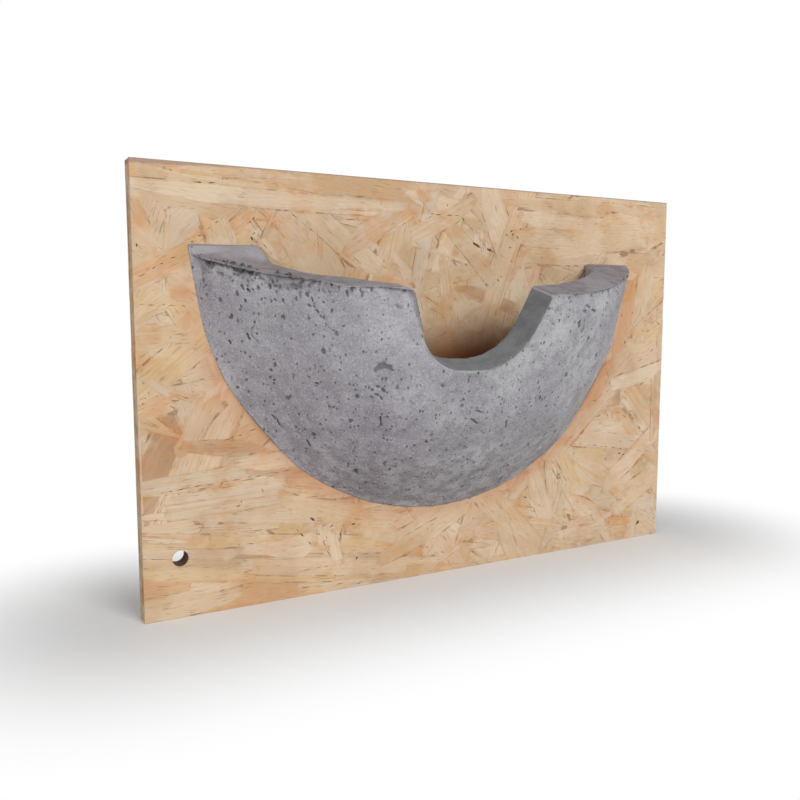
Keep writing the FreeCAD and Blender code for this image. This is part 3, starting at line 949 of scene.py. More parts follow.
# Where these moves begin and where they are whole: up the bowl, to its left and to its right.
THICK_HEIGHT = (0.0, 40 * MM)
LEFT_THICK_PART = (55 * MM, 88 * MM)
RIGHT_THICK_PART = (48 * MM, 78 * MM)

high = smooth_step(places[:, 2], *THICK_HEIGHT)
left_end = smooth_step(-places[:, 0], *LEFT_THICK_PART) * (0.5 + 0.5 * ahead)
right_end = smooth_step(places[:, 0], *RIGHT_THICK_PART)
places[:, 0] += inner * high * (LEFT_END_IN * left_end - RIGHT_END_IN * right_end)
print("thickest shift of the wall:", round(LEFT_END_IN / MM, 1), "mm")

# %% [markdown]
# ## The bowl: raised and lowered rim
#
# Then the rim itself goes up and down. It is a plane that falls forward by 17 degrees, and its
# left part falls more steeply from the middle of the wall to the outer arris.

# %% Raised and lowered rim
RIM_FALL = math.radians(17)
LEFT_END_UP = 3.2 * MM
INNER_ARRIS_DOWN = 1.7 * MM
CORNER_DOWN = 1.6 * MM
RIGHT_ARRIS_UP = 1.0 * MM
OUTER_ARRIS_DOWN = 4.7 * MM
# Where these moves begin and where they are whole, the first up the bowl, the next three to its
# left and the rest from left to right.
NEAR_RIM = (32 * MM, 56 * MM)
OUTER_ARRIS_PART = (56 * MM, 108 * MM)
LEFT_END_PART = (72 * MM, 86 * MM)
INNER_ARRIS_PART = (16 * MM, 36 * MM)
CORNER_PART = (-82 * MM, -66 * MM)
RIGHT_ARRIS_PART = (34 * MM, 56 * MM)
RIGHT_ARRIS_ENDS = (72 * MM, 86 * MM)


def outer_drop(places):
    """How far the outer arris lies lower than the plane of the rim, at each vertex."""
    return OUTER_ARRIS_DOWN * smooth_step(-places[:, 0], *OUTER_ARRIS_PART)


across = places[:, 0]
near_rim = smooth_step(places[:, 2], *NEAR_RIM)
lift = smooth_step(-across, *LEFT_END_PART) * (1 - inner * ahead)
worn_part = smooth_step(-across, *INNER_ARRIS_PART) * ahead
corner = (1 - smooth_step(across, *CORNER_PART)) * ahead
right_part = smooth_step(across, *RIGHT_ARRIS_PART)
right_part *= 1 - smooth_step(across, *RIGHT_ARRIS_ENDS)
lowered = INNER_ARRIS_DOWN * worn_part + CORNER_DOWN * corner - RIGHT_ARRIS_UP * right_part
under_rim = bowl_high.z - places[:, 2] - math.tan(RIM_FALL) * from_board
at_rim = 1 - smooth_step(under_rim, 2 * MM, 18 * MM)
off_board = smooth_step(from_board, 0.2 * MM, 2.2 * MM)
steeper = at_rim * (1 - inner) * outer_drop(places) * off_board
places[:, 2] += near_rim * (LEFT_END_UP * lift - lowered * inner) - steeper
move_vertices(bowl, places)
print("most that the outer arris drops:", round(float(steeper.max()) / MM, 1), "mm")

# %% [markdown]
# ## The bowl: regions
#
# The rim and the inside of the entrance were struck and cut while the concrete was soft, so
# they are smooth. The outside is rough, most of all along its upper edge. The regions follow from
# the same sizes as the form. The entrance is a cut that falls outwards by 20 degrees, with a flat
# sill, two leaning sides and two round corners between them.

# %% Distance from the entrance's cut
ENTRANCE_FALL = math.radians(20)
# The middle of the sill lies left of the bowl's middle, before the board and below the rim.
ENTRANCE_LEFT = 14.9 * MM
SILL_HALF = 20.15 * MM
SILL_REACH = 54.6 * MM
SILL_BELOW_RIM = 51.4 * MM
# Side (-1 is left), how far it leans out in degrees and the radius of its corner.
ENTRANCE_SIDES = ((-1, 17.0, 20 * MM), (1, 28.5, 31 * MM))
sill_x = BOWL_MIDDLE - ENTRANCE_LEFT
sill_z = bowl_high.z - SILL_BELOW_RIM


def distance_from_entrance(points):
    """How far outside the entrance's cut each point lies, square to the way it falls."""
    across = points[:, 0] - sill_x
    out = board_low.y - points[:, 1] - SILL_REACH
    up = (points[:, 2] - sill_z) * math.cos(ENTRANCE_FALL) + out * math.sin(ENTRANCE_FALL)
    away = -up
    for side, lean, radius in ENTRANCE_SIDES:
        lean = math.radians(lean)
        beyond = side * across - SILL_HALF
        away = np.maximum(away, beyond * math.cos(lean) - up * math.sin(lean))
        run = radius * math.tan(math.pi / 4 - lean / 2)
        past = beyond + run
        above = up - radius
        in_corner = (past > 0) & (past * math.sin(lean) + above * math.cos(lean) < 0)
        away = np.where(in_corner, np.hypot(past, above) - radius, away)
    return away


nearest = np.abs(distance_from_entrance(places)).min()
print("nearest vertex to the entrance's cut:", round(float(nearest) / MM, 3), "mm")

# %% [markdown]
# ## The bowl: which vertex belongs where
#
# A vertex is on the rim if it faces up like the rim's plane and lies near it, on the entrance's
# cut if it lies within a millimetre of it, and outside if it faces away from the middle of the
# bowl's opening.

# %% Regions of the bowl
RIM_BAND = 9 * MM
# The entrance cuts only what lies farther than this from the board.
FRONT_DEPTH = 20 * MM
# Where a region begins and where it is whole: by how far a vertex faces up or outwards, by how
# deep it lies in the entrance's cut and by how far it lies from the board.
FACES_UP = (0.50, 0.78)
FACES_OUT = (0.0, 0.3)
IN_CUT = (-1.0 * MM, -0.2 * MM)
OFF_BOARD = (0.2 * MM, 1.2 * MM)
rim_normal = np.array([0, -math.sin(RIM_FALL), math.cos(RIM_FALL)])


class Regions:
    """How much each vertex of the bowl belongs to its rim, its entrance and its outside."""

    def __init__(self, thing):
        self.places = vertex_rows(thing)
        self.normals = vertex_rows(thing, "normal")
        self.below_rim = (opening_middle - self.places) @ rim_normal
        self.from_board = board_low.y - self.places[:, 1]
        facing_up = smooth_step(self.normals @ rim_normal, *FACES_UP)
        self.rim = facing_up * smooth_step(-self.below_rim, -RIM_BAND, -RIM_BAND / 2)
        from_entrance = distance_from_entrance(self.places)
        cut = smooth_step(-from_entrance, *IN_CUT) * (1 - self.rim)
        self.reveal = cut * (self.from_board > FRONT_DEPTH)
        outward = self.places - opening_middle
        outward /= np.linalg.norm(outward, axis=1)[:, None]
        self.outside = smooth_step(np.einsum("ij,ij->i", self.normals, outward), *FACES_OUT)
        self.outside *= (1 - self.rim) * (1 - self.reveal)
        self.free = smooth_step(self.from_board, *OFF_BOARD)


regions = Regions(bowl)
print("rim, reveal, outside:", *(int(r.sum()) for r in (regions.rim, regions.reveal, regions.outside)))

# %% [markdown]
# ## The bowl: flats of the trowel
#
# The real bowl is not a true ellipsoid. It was laid up and rubbed by hand, so its outside is made
# of soft flats. A flat is made by pushing what stands above a plane down to it. The largest ones
# show in the outline of the photographed bowl and are placed by their points in the photograph,
# each with the depth that it takes off. Many small ones lie all over the outside.

# %% Flats
FLATS = (
    (236, 366, 0.5), (262, 398, 2.3), (296, 432, 2.7), (338, 462, 2.4), (392, 484, 1.6),
    (624, 284, 1.6), (622, 318, 2.2), (604, 372, 2.4), (570, 415, 1.8), (532, 446, 0.8),
    (324, 348, 0.9), (430, 440, 0.7), (470, 400, 0.5),
)
SMALL_FLATS = 50
SMALL_FLAT_DEPTHS = (0.4, 1.5)
FLAT_SEED = 23
# How much of what stands above a flat's plane is pushed down to it.
FLAT_HOLD = 0.85
# The skin of the flat back, as a distance from the board.
BACK_SKIN = 1.2 * MM


def spot_on_bowl(across, down):
    """The place on the bowl, and the way it faces, under a point of the photograph."""
    hit, place, facing, _ = bowl.ray_cast(CAMERA_PLACE, sight(across, down))
    if not hit:
        # A point just beyond the outline takes the nearest place on the bowl.
        reach = (Vector(opening_middle) - CAMERA_PLACE).length
        beyond = CAMERA_PLACE + sight(across, down) * reach
        _, place, facing, _ = bowl.closest_point_on_mesh(beyond)
    return np.array(place), np.array(facing)


def press_flat(places, share, middle, facing, depth):
    """Push what stands above a plane a little under a place towards that plane."""
    above = (places - middle) @ facing + depth
    return places - np.outer(np.maximum(above, 0) * share * FLAT_HOLD, facing)


bpy.context.view_layer.update()
spots = [(*spot_on_bowl(across, down), depth * MM) for across, down, depth in FLATS]
places = regions.places
# The flat back goes with the outside, or a thin fin would stay where the two meet.
pressed = np.maximum(regions.outside, regions.from_board < BACK_SKIN)
for middle, facing, depth in spots:
    places = press_flat(places, pressed, middle, facing, depth)
flat_chance = random.Random(FLAT_SEED)
outside_index = np.nonzero(regions.outside > 0.9)[0]
for _ in range(SMALL_FLATS):
    index = outside_index[flat_chance.randrange(len(outside_index))]
    depth = flat_chance.uniform(*SMALL_FLAT_DEPTHS) * MM
    places = press_flat(places, pressed, places[index], regions.normals[index], depth)
places[:, 1] = np.minimum(places[:, 1], board_low.y)
move_vertices(bowl, places)
print("flats:", len(FLATS) + SMALL_FLATS)

# %% [markdown]
# ## The bowl: marks seen in the photograph
#
# The marks that stand out most are pits, cracks and torn spots just below the rim. Each is
# written as the points of a short line in the photograph, with its width and depth on the bowl
# in millimetres. A pit is a short, wide line and a crack a long, narrow one.

# %% Marks
MARKS = (
    (((204, 261), (206, 263)), 1.9, 1.3), (((229, 266), (238, 271)), 2.6, 1.2),
    (((240, 267), (241, 270)), 1.8, 1.8), (((244, 270), (249, 272)), 2.2, 1.1),
    (((253, 270), (255, 270)), 1.4, 1.3), (((261, 271), (263, 272)), 1.4, 1.3),
    (((214, 263), (222, 266)), 1.3, 0.7), (((268, 273), (284, 277)), 1.2, 0.8),
    (((240, 286), (242, 290)), 1.4, 1.0), (((246, 290), (248, 292)), 1.3, 1.1),
    (((244, 301), (244, 302)), 1.5, 1.0), (((230, 316), (230, 319)), 1.3, 1.0),
    (((245, 335), (247, 340)), 1.3, 1.2), (((228, 342), (229, 344)), 1.5, 1.2),
    (((252, 327), (249, 332), (250, 338), (256, 343)), 0.8, 0.5),
    (((311, 299), (312, 302)), 1.1, 0.9), (((308, 306), (310, 307)), 1.3, 0.9),
    (((313, 307), (314, 308)), 1.1, 0.7), (((316, 311), (317, 313)), 1.2, 0.7),
    (((320, 317), (321, 319)), 1.1, 0.7), (((325, 325), (326, 326)), 1.0, 0.6),
    (((378, 370), (384, 367), (389, 369)), 4.6, 0.9), (((391, 371), (393, 372)), 1.6, 0.9),
    (((375, 372), (376, 372)), 1.3, 0.8), (((372, 391), (373, 392)), 1.6, 0.9),
    (((377, 388), (379, 389)), 1.4, 0.8), (((383, 391), (384, 393)), 1.7, 0.9),
    (((376, 396), (378, 397)), 1.7, 0.9), (((381, 399), (382, 401)), 1.4, 0.8),
    (((371, 399), (372, 400)), 1.2, 0.7), (((308, 378), (308, 379)), 1.3, 0.9),
    (((316, 385), (317, 386)), 1.3, 0.9), (((270, 371), (270, 372)), 1.4, 1.0),
    (((271, 417), (276, 421), (279, 427)), 1.0, 1.2), (((306, 443), (310, 449)), 1.1, 1.2),
    (((380, 419), (381, 428)), 1.1, 0.9), (((355, 471), (356, 473)), 1.7, 1.1),
    (((415, 478), (418, 479)), 1.6, 1.0), (((472, 420), (478, 425)), 1.4, 0.9),
    (((478, 412), (482, 414)), 1.6, 0.8), (((507, 422), (507, 429)), 1.1, 0.9),
    (((589, 305), (592, 308)), 1.6, 1.1), (((594, 310), (597, 312)), 1.7, 1.1),
    (((585, 311), (588, 313)), 1.6, 0.8), (((550, 429), (545, 434)), 1.3, 0.9),
    (((541, 436), (536, 441)), 1.1, 0.9), (((530, 446), (522, 454)), 1.2, 1.1),
    (((519, 457), (513, 462)), 1.0, 0.9), (((503, 478), (497, 486)), 1.4, 1.3),
)
bpy.context.view_layer.update()
marks = []
for line, width, depth in MARKS:
    marks.append(([spot_on_bowl(*point)[0] for point in line], width * MM, depth * MM))
print("marks:", len(marks))

# %% [markdown]
# ## The bowl: finer skin
#
# The skin's squares are halved near the marks and along the torn edge below the rim, so that
# the small shapes there keep their form. Elsewhere the wider squares are enough.

# %% Finer skin near the marks
TORN_BAND = 5.5 * MM
FINE_MARGIN = 0.7 * MM


def distance_to_line(places, line):
    """How far each place lies from a line through a few points."""
    nearest = np.full(len(places), np.inf)
    for start, finish in zip(line, line[1:]):
        run = finish - start
        share = np.clip((places - start) @ run / (run @ run), 0, 1)
        away = np.linalg.norm(places - start - share[:, None] * run, axis=1)
        nearest = np.minimum(nearest, away)
    return nearest


regions = Regions(bowl)
fine = (regions.below_rim < TORN_BAND + outer_drop(regions.places)) & (regions.outside > 0.3)
for line, width, _ in marks:
    fine |= distance_to_line(regions.places, line) < width / 2 + FINE_MARGIN
pick_vertices(bowl, fine)
bpy.ops.mesh.subdivide(number_cuts=1, ngon=False)
bpy.ops.object.mode_set(mode="OBJECT")
print("bowl faces with the finer skin:", len(bowl.data.polygons))

# %% [markdown]
# ## The bowl: lumps and torn edge
#
# Broad lumps, small ripples and the grain of the sand shape the skin. The edge below the rim is
# torn into small chips, most of all at the left end. All of them go inwards only, so the bowl
# stays within its measured size.

# %% Lumps, grain and chips
LUMP_DEPTH = 1.5 * MM
LUMP_SIZE = 22 * MM
RIPPLE_DEPTH = 0.45 * MM
RIPPLE_SIZE = 5 * MM
GRAIN_DEPTH = 0.16 * MM
GRAIN_SIZE = 1.7 * MM
CHIP_DEPTH = 1.5 * MM
CHIP_SIZE = 2.6 * MM
# How much of the edge is torn: everywhere, and as much more at the left and at the right.
TORN_SHARE = 0.22
TORN_LEFT = 0.5
TORN_RIGHT = 0.25
TORN_LEFT_PART = (20 * MM, 70 * MM)
TORN_RIGHT_PART = (30 * MM, 90 * MM)


def noise_field(points, size, seed):
    """Smooth noise between about -1 and 1 at each point."""
    shift = Vector((seed, seed * 0.37, seed * 0.71))
    return np.array([noise.noise(Vector(point) / size + shift) for point in points])


regions = Regions(bowl)
places = regions.places
rough = regions.outside
grain = noise_field(places, GRAIN_SIZE, 2.3)
ripples = noise_field(places, RIPPLE_SIZE, 5.9)
chips = noise_field(places, CHIP_SIZE, 8.8)

lumps = smooth_step(noise_field(places, LUMP_SIZE, 11.3), -0.5, 0.6)
sink = LUMP_DEPTH * lumps * rough * smooth_step(regions.from_board, 0.2 * MM, 4 * MM)
sink += RIPPLE_DEPTH * (ripples * 0.5 + 0.5) * (0.2 + 0.8 * rough) * regions.free
sink += GRAIN_DEPTH * (grain * 0.5 + 0.5) * (0.15 + 0.85 * rough) * regions.free

torn = smooth_step(outer_drop(places) - regions.below_rim, -TORN_BAND, -1.0 * MM) * rough
torn *= smooth_step(regions.from_board, 1.5 * MM, 5 * MM)
left_share = smooth_step(-places[:, 0], *TORN_LEFT_PART)
right_share = smooth_step(places[:, 0], *TORN_RIGHT_PART)
torn *= TORN_SHARE + TORN_LEFT * left_share + TORN_RIGHT * right_share
chip = CHIP_DEPTH * smooth_step(chips + 0.5 * grain, 0.0, 0.5) * torn
sink += chip
print("deepest chip:", round(float(chip.max()) / MM, 2), "mm")

# %% [markdown]
# ## The bowl: pits
#
# Pits are dents of about 1 to 2 mm where air bubbles and grit came out. Many lie in small
# groups. At the two ends of the bowl they are drawn out upwards, where the mould was pulled off.
# The marks that were placed by the photograph are pressed in with them.

# %% Pits and marks
PITS = 480
PIT_SEED = 7
# The radius of the smallest pits, and how much more the largest have, in millimetres.
PIT_RADIUS = 0.40
PIT_RADIUS_MORE = 0.80
# The share of pits that lie beside the one before, and how far away.
GATHERED = 0.55
GATHER_SPREAD = 3.2 * MM
# From this distance from the middle on, pits are drawn out as much as at the ends.
END_DISTANCE = 70 * MM

pit_chance = random.Random(PIT_SEED)
outside_index = np.nonzero(rough > 0.6)[0]
pit_depth = np.zeros(len(places))
uneven = 1 + 0.60 * grain
last = None
for _ in range(PITS):
    middle = places[outside_index[pit_chance.randrange(len(outside_index))]]
    if last is not None and pit_chance.random() < GATHERED:
        beside = last + GATHER_SPREAD * np.array([pit_chance.gauss(0, 1) for _ in range(3)])
        middle = places[np.argmin(((places - beside) ** 2).sum(axis=1))]
    last = middle
    radius = (PIT_RADIUS + PIT_RADIUS_MORE * pit_chance.random() ** 3) * MM
    at_end = min(1.0, abs(middle[0] - BOWL_MIDDLE) / END_DISTANCE)
    stretch = 1 + pit_chance.uniform(0.1, 1.6) * at_end
    lean = pit_chance.gauss(0, 0.4)
    offset = places - middle
    along = offset @ np.array([math.sin(lean), 0, math.cos(lean)])
    square = np.sqrt(np.maximum(np.einsum("ij,ij->i", offset, offset) - along ** 2, 0))
    away = np.hypot(along / stretch, square) * uneven
    depth = radius * pit_chance.uniform(0.7, 1.2)
    pit_depth = np.maximum(pit_depth, depth * (1 - smooth_step(away, 0.3 * radius, radius)))
for line, width, depth in marks:
    away = distance_to_line(places, line) * uneven
    pit_depth = np.maximum(pit_depth, depth * (1 - smooth_step(away, 0.15 * width, 0.5 * width)))
pit_depth *= rough * regions.free
sink += pit_depth
print("deepest pit:", round(float(pit_depth.max()) / MM, 2), "mm")

# %% [markdown]
# ## The bowl: press it all in
#
# The vertices now go inwards by all these depths together. What the material needs is kept with
# the mesh: how hollow each vertex lies, for the shade that the material paints there, how torn
# the edge is, and the regions.

# %% Press in and remember
hollow = smooth_step(pit_depth + 0.55 * chip, 0.15 * MM, 0.95 * MM)
places = places - regions.normals * sink[:, None]
places[:, 1] = np.minimum(places[:, 1], board_low.y)
move_vertices(bowl, places)
remember(bowl.data, "hollow", "FLOAT", hollow, "value")
remember(bowl.data, "torn", "FLOAT", torn, "value")
remember(bowl.data, "on_rim", "FLOAT", regions.rim, "value")
remember(bowl.data, "on_reveal", "FLOAT", regions.reveal, "value")
remember(bowl.data, "on_outside", "FLOAT", rough, "value")
print("deepest place:", round(float(sink.max()) / MM, 2), "mm")

# %% [markdown]
# ## The bowl: fewer faces where nobody looks
#
# The flat back lies on the board and the cavity is seen only at its edge. Both are plain, so
# their small squares are merged into larger faces.

# %% Thin out the cavity and the back
PLAIN_RATIO = 0.08
RIM_KEEP = 3 * MM

plain = (regions.rim + regions.reveal + rough < 0.02) & (regions.below_rim > RIM_KEEP)
pick_vertices(bowl, plain)
bpy.ops.mesh.decimate(ratio=PLAIN_RATIO)
bpy.ops.object.mode_set(mode="OBJECT")
for polygon in bowl.data.polygons:
    polygon.use_smooth = True
bowl.data.calc_loop_triangles()
print("bowl triangles:", len(bowl.data.loop_triangles))

# %% [markdown]
# ## Materials: a small language
#
# A material is a graph of nodes, which is slow to read when each link is a line of code. The
# class below wraps one output of a node, so that sums on it add Math nodes.

# %% One output of a node


class Wire:
    """One output of a node. Sums on it add Math nodes to the same material."""

    def __init__(self, finish, socket):
        self.finish = finish
        self.socket = socket

    def combine(self, operation, *terms):
        settings = {"operation": operation}
        return self.finish.node("ShaderNodeMath", settings, dict(enumerate(terms)))

    def __add__(self, other):
        return self.combine("ADD", self, other)

    def __sub__(self, other):
        return self.combine("SUBTRACT", self, other)

    def __mul__(self, other):
        return self.combine("MULTIPLY", self, other)

    def __truediv__(self, other):
        return self.combine("DIVIDE", self, other)

    def __rsub__(self, other):
        return self.combine("SUBTRACT", other, self)

    __radd__ = __add__
    __rmul__ = __mul__

    def size(self):
        return self.combine("ABSOLUTE", self)

    def root(self):
        return self.combine("SQRT", self)

    def at_least(self, least):
        return self.combine("MAXIMUM", self, least)

    def step(self, low, high):
        """0 where this is under low, 1 where it is over high, eased in between."""
        settings = {"interpolation_type": "SMOOTHSTEP"}
        inputs = {"Value": self, "From Min": low, "From Max": high}
        return self.finish.node("ShaderNodeMapRange", settings, inputs)

    def parts(self):
        """The three numbers of a vector."""
        made = self.finish.node("ShaderNodeSeparateXYZ", None, {0: self}).socket.node
        return [Wire(self.finish, output) for output in made.outputs]


print("a wire also has:", ", ".join(name for name in vars(Wire) if name[0] != "_"))

# %% [markdown]
# ## Materials: a finish
#
# A finish is one material while it is made. One method adds any node from its type, its
# settings and its inputs, and a few short ones add the nodes that return in every finish.

# %% A material being made


class Finish:
    """A material being made."""

    def __init__(self, name):
        self.material = bpy.data.materials.new(name)
        self.material.use_nodes = True
        self.tree = self.material.node_tree
        self.shader = self.tree.nodes["Principled BSDF"]

    def node(self, kind, settings=None, inputs=None, output=0):
        """Add a node, set it up, fill or link its inputs and give one of its outputs."""
        made = self.tree.nodes.new(kind)
        for key, setting in (settings or {}).items():
            setattr(made, key, setting)
        for key, given in (inputs or {}).items():
            self.feed(made.inputs[key], given)
        return Wire(self, made.outputs[output])

    def feed(self, socket, given):
        """Link a wire to a socket, or write a plain value on it."""
        if isinstance(given, Wire):
            self.tree.links.new(given.socket, socket)
        else:
            socket.default_value = given

    def set(self, **given):
        """Write or link sockets of the material's own shader."""
        for key, value in given.items():
            self.feed(self.shader.inputs[key.replace("_", " ")], value)

    def places(self):
        """The place on the piece, in millimetres."""
        spot = self.node("ShaderNodeTexCoord", output="Object")
        return self.scale(spot, (1 / MM,) * 3)

    def scale(self, vector, factors):
        return self.node("ShaderNodeVectorMath", {"operation": "MULTIPLY"}, {0: vector, 1: factors})

    def noise(self, vector, size, detail=2.0, roughness=0.5, output=0):
        """Noise from 0 to 1, with features about size millimetres wide."""
        inputs = {"Vector": vector, "Scale": 1 / size, "Detail": detail, "Roughness": roughness}
        return self.node("ShaderNodeTexNoise", None, inputs, output)

    def kept(self, name, output="Fac"):
        """A value that the mesh remembers under a name."""
        return self.node("ShaderNodeAttribute", {"attribute_name": name}, None, output)

    def mix(self, factor, first, second, way="MIX"):
        """Mix two colours."""
        made = self.tree.nodes.new("ShaderNodeMix")
        made.data_type = "RGBA"
        made.blend_type = way
        made.clamp_factor = True
        for key, given in ((0, factor), (6, first), (7, second)):
            self.feed(made.inputs[key], given)
        return Wire(self, made.outputs[2])

    def shade(self, colour, light):
        """A colour made lighter or darker by a number."""
        level = self.node("ShaderNodeCombineXYZ", None, {0: light, 1: light, 2: light})
        return self.mix(1.0, colour, level, "MULTIPLY")

    def bump(self, height, distance, strength=1.0):
        """Relief from a height in units of distance metres."""
        inputs = {"Height": height, "Distance": distance, "Strength": strength}
        made = self.node("ShaderNodeBump", None, inputs)
        self.set(Normal=made)


def grey(level):
    """A plain grey as linear light."""
    return level, level, level, 1.0


print("white:", grey(1.0))

# %% [markdown]
# ## Finish: wood strands
#
# Each strand has its own tone, a fine grain along its length and darker growth lines, bold in
# some strands and faint in others. The pressing blurs it all: the colour drifts over the board in
# soft patches, and the strands' edges melt into one another, except where a thin broken line of
# resin and shadow marks them. The grain follows the strand, so it reads the place along and
# across the strand that each vertex remembers, with the strand's own seed as the third
# coordinate, so that no two strands look alike.

# %% Wood of the strands


def strand_wood(finish, spot, drift, broken):
    """The colour of the strands and the height of their grain, before the board's stains."""
    own = finish.kept("strand_place", "Vector")
    tone = finish.kept("strand_tone", "Color")
    along, across, seed = own.parts()
    half_length, half_width, _ = finish.kept("strand_half", "Vector").parts()

    fibre = finish.noise(finish.scale(own, (0.04, 1.0, 1.0)), 0.5, 2.0, 0.6)
    growth = finish.noise(finish.scale(own, (0.012, 1.0, 1.0)), 1.7, 2.0, 0.5)
    tick = finish.noise(finish.scale(own, (0.10, 1.0, 1.0)), 0.55, 1.0, 0.5)
    blush = finish.noise(finish.scale(spot, (1.0, 1.0, 1.4)), 17.0, 3.0, 0.6, "Color")
    bold = finish.node("ShaderNodeTexWhiteNoise", {"noise_dimensions": "1D"}, {"W": seed})

    # The colour is a soft field over the board, and in the middle of a strand partly its tone.
    to_edge = half_width - across.size()
    to_end = half_length - along.size()
    from_edges = to_edge.step(0.0, 2.2) * to_end.step(0.0, 4.0)
    pale_patch, warm_patch, _ = blush.parts()
    field = finish.mix(drift.step(0.35, 0.65), paint(208, 185, 156), paint(182, 152, 120))
    field = finish.mix(warm_patch.step(0.48, 0.64) * 0.8, field, paint(194, 144, 97))
    field = finish.mix(pale_patch.step(0.50, 0.66) * 0.7, field, paint(210, 190, 168))
    colour = finish.mix(0.12 + 0.42 * from_edges, field, tone)

    # Fibres, growth lines and short dark ticks along the grain.
    colour = finish.shade(colour, 0.80 + 0.24 * fibre + 0.14 * growth)
    line = growth.step(0.50, 0.60) * (0.10 + 0.42 * bold.step(0.45, 1.0))
    colour = finish.mix(line, colour, paint(190, 146, 102))
    gathered = 0.12 + 0.40 * finish.noise(spot, 9.0, 2.0, 0.6).step(0.42, 0.62)
    colour = finish.mix(tick.step(0.58, 0.70) * gathered, colour, paint(138, 104, 74))

    # A thin broken line where a strand ends: resin and painted shadow.
    edge_line = 1 - to_edge.step(0.0, 0.4)
    end_line = 1 - to_end.step(0.0, 0.8)
    seam = (edge_line + end_line * 0.3).step(0.0, 1.0) * (0.10 + 0.62 * broken.step(0.46, 0.62))
    colour = finish.mix(seam, colour, paint(128, 98, 72))
    height = fibre * 0.5 + growth * 0.3 - tick.step(0.6, 0.74) * 0.6
    return colour, fibre, height


print("grain runs along each of", mat.count, "strands")

# %% [markdown]
# ## Finish: stains and painted shade of the board
#
# The front of the board is orange close to the bowl and brown in the bottom of the cavity: a
# cement-water stain together with painted shade round the bowl's foot and painted shadow in the
# cavity. Both follow the bowl's outline on the board, which is half an ellipse. A grey band runs
# along the upper arris of the board, widest at its left end.

# %% Stains of the board
# Lengths and heights in millimetres.
STAIN_AND_SHADE_REACH = 11.0
STAIN_AND_SHADE_FADES = (22.0, 6.0)
DEEP_STAIN_AND_SHADE = (8.0, 38.0)
FRONT_SKIN = (2.0, 4.0)
ARRIS_BAND = 1.9
ARRIS_BAND_THIN = 0.5
ARRIS_LEFT_PART = 60.0


def cement_stains_and_shade(finish, colour, x, y, z, drift):
    """Orange stain and painted shade beside the bowl, brown stain and painted shadow in the bottom of
    its cavity, on the front alone.
    """
    top = bowl_high.z / MM
    reach = bowl_reach[0] / MM
    sideways = (x - BOWL_MIDDLE / MM) / reach
    down = (z - top) / (bowl_reach[2] / MM)
    # How far outside the bowl's outline on the board a place lies, about in millimetres.
    outside = ((sideways * sideways + down * down).root() - 1) * reach
    low_enough = 1 - z.step(top - STAIN_AND_SHADE_FADES[0], top - STAIN_AND_SHADE_FADES[1])
    near = (1 - outside.size().step(0.0, STAIN_AND_SHADE_REACH)) * low_enough
    deep = (1 - outside.step(-6.0, 0.0)) * (1 - z.step(*DEEP_STAIN_AND_SHADE))
    uneven = 0.3 + 0.9 * drift
    front_y = board_low.y / MM
    on_front = 1 - y.step(front_y + FRONT_SKIN[0], front_y + FRONT_SKIN[1])
    # Painted shade round the bowl's foot, with the orange cement stain.
    colour = finish.mix(near * uneven * on_front * 0.55, colour, paint(184, 128, 90))
    # Painted shadow in the bottom of the cavity, with the brown stain.
    return finish.mix(deep * (0.60 + uneven * 0.6) * on_front, colour, paint(116, 69, 38))


def top_arris_band(finish, colour, x, z, broken):
    """A grey band along the upper arris, wider and reddish below at its left end."""
    below_top = board_high.z / MM - z
    left = board_low.x / MM
    leftness = 1 - x.step(left, left + ARRIS_LEFT_PART)
    band = (ARRIS_BAND_THIN + (ARRIS_BAND - ARRIS_BAND_THIN) * leftness) * (0.7 + 0.6 * broken)
    grey_band = 1 - (below_top - band).step(-0.25, 0.35)
    reddish = (1 - (below_top - band).step(0.2, 1.3)) * leftness
    colour = finish.mix(reddish * 0.4, colour, paint(190, 140, 112))
    return finish.mix(grey_band * 0.72, colour, paint(146, 130, 120))


def make_strand_finish():
    """Wood, stains, painted shade and grain together."""
    finish = Finish("pressed_strands")
    spot = finish.places()
    x, y, z = spot.parts()
    drift = finish.noise(spot, 30.0, 3.0, 0.55)
    broken = finish.noise(spot, 5.0, 2.0, 0.6)
    colour, fibre, height = strand_wood(finish, spot, drift, broken)
    colour = cement_stains_and_shade(finish, colour, x, y, z, drift)
    colour = top_arris_band(finish, colour, x, z, broken)
    finish.set(Base_Color=colour, Roughness=0.80 + 0.12 * fibre, Specular_IOR_Level=0.3)
    finish.bump(height, 0.10 * MM, 0.6)
    return finish.material


strands.data.materials.append(make_strand_finish())
print("strand finish nodes:", len(strands.data.materials[0].node_tree.nodes))

# %% [markdown]
# ## Finish: the core, and the board joined
#
# The core shows only at the bottom of the gaps and in the holes, as pressed wood with resin,
# painted dark as painted shade at the bottom of the gaps. Core and strands are then joined to one
# board, which keeps both finishes.

# %% Core finish and the whole board


def make_core_finish():
    """Pressed wood, dark as painted shade at the bottom of the gaps."""
    finish = Finish("pressed_core")
    spot = finish.places()
    fibre = finish.noise(finish.scale(spot, (0.3, 2.0, 0.3)), 1.2, 3.0, 0.6)
    # Painted shade: the core is dark where it shows at the bottom of the gaps.
    colour = finish.mix(fibre, paint(78, 56, 42), paint(118, 88, 64))
    finish.set(Base_Color=colour, Roughness=0.85)
    finish.bump(fibre, 0.4 * MM)
    return finish.material


board.data.materials.append(make_core_finish())
pick_only(board)
strands.select_set(True)
bpy.ops.object.join()
board.data.calc_loop_triangles()
print("board triangles:", len(board.data.loop_triangles), "materials:", len(board.data.materials))

# %% [markdown]
# ## Finish: pores of the concrete
#
# Cement is a light grey with a cloudy tint, fine light and dark grains of sand and many small
# dark pores. The largest pits are real dents in the mesh. The pores of a millimetre or less are
# too small for its skin, so their shade is painted as dark spots, with relief, drawn out upwards
# like the pits. They are round cells of two sizes, each with its own radius, on slightly bent
# places.

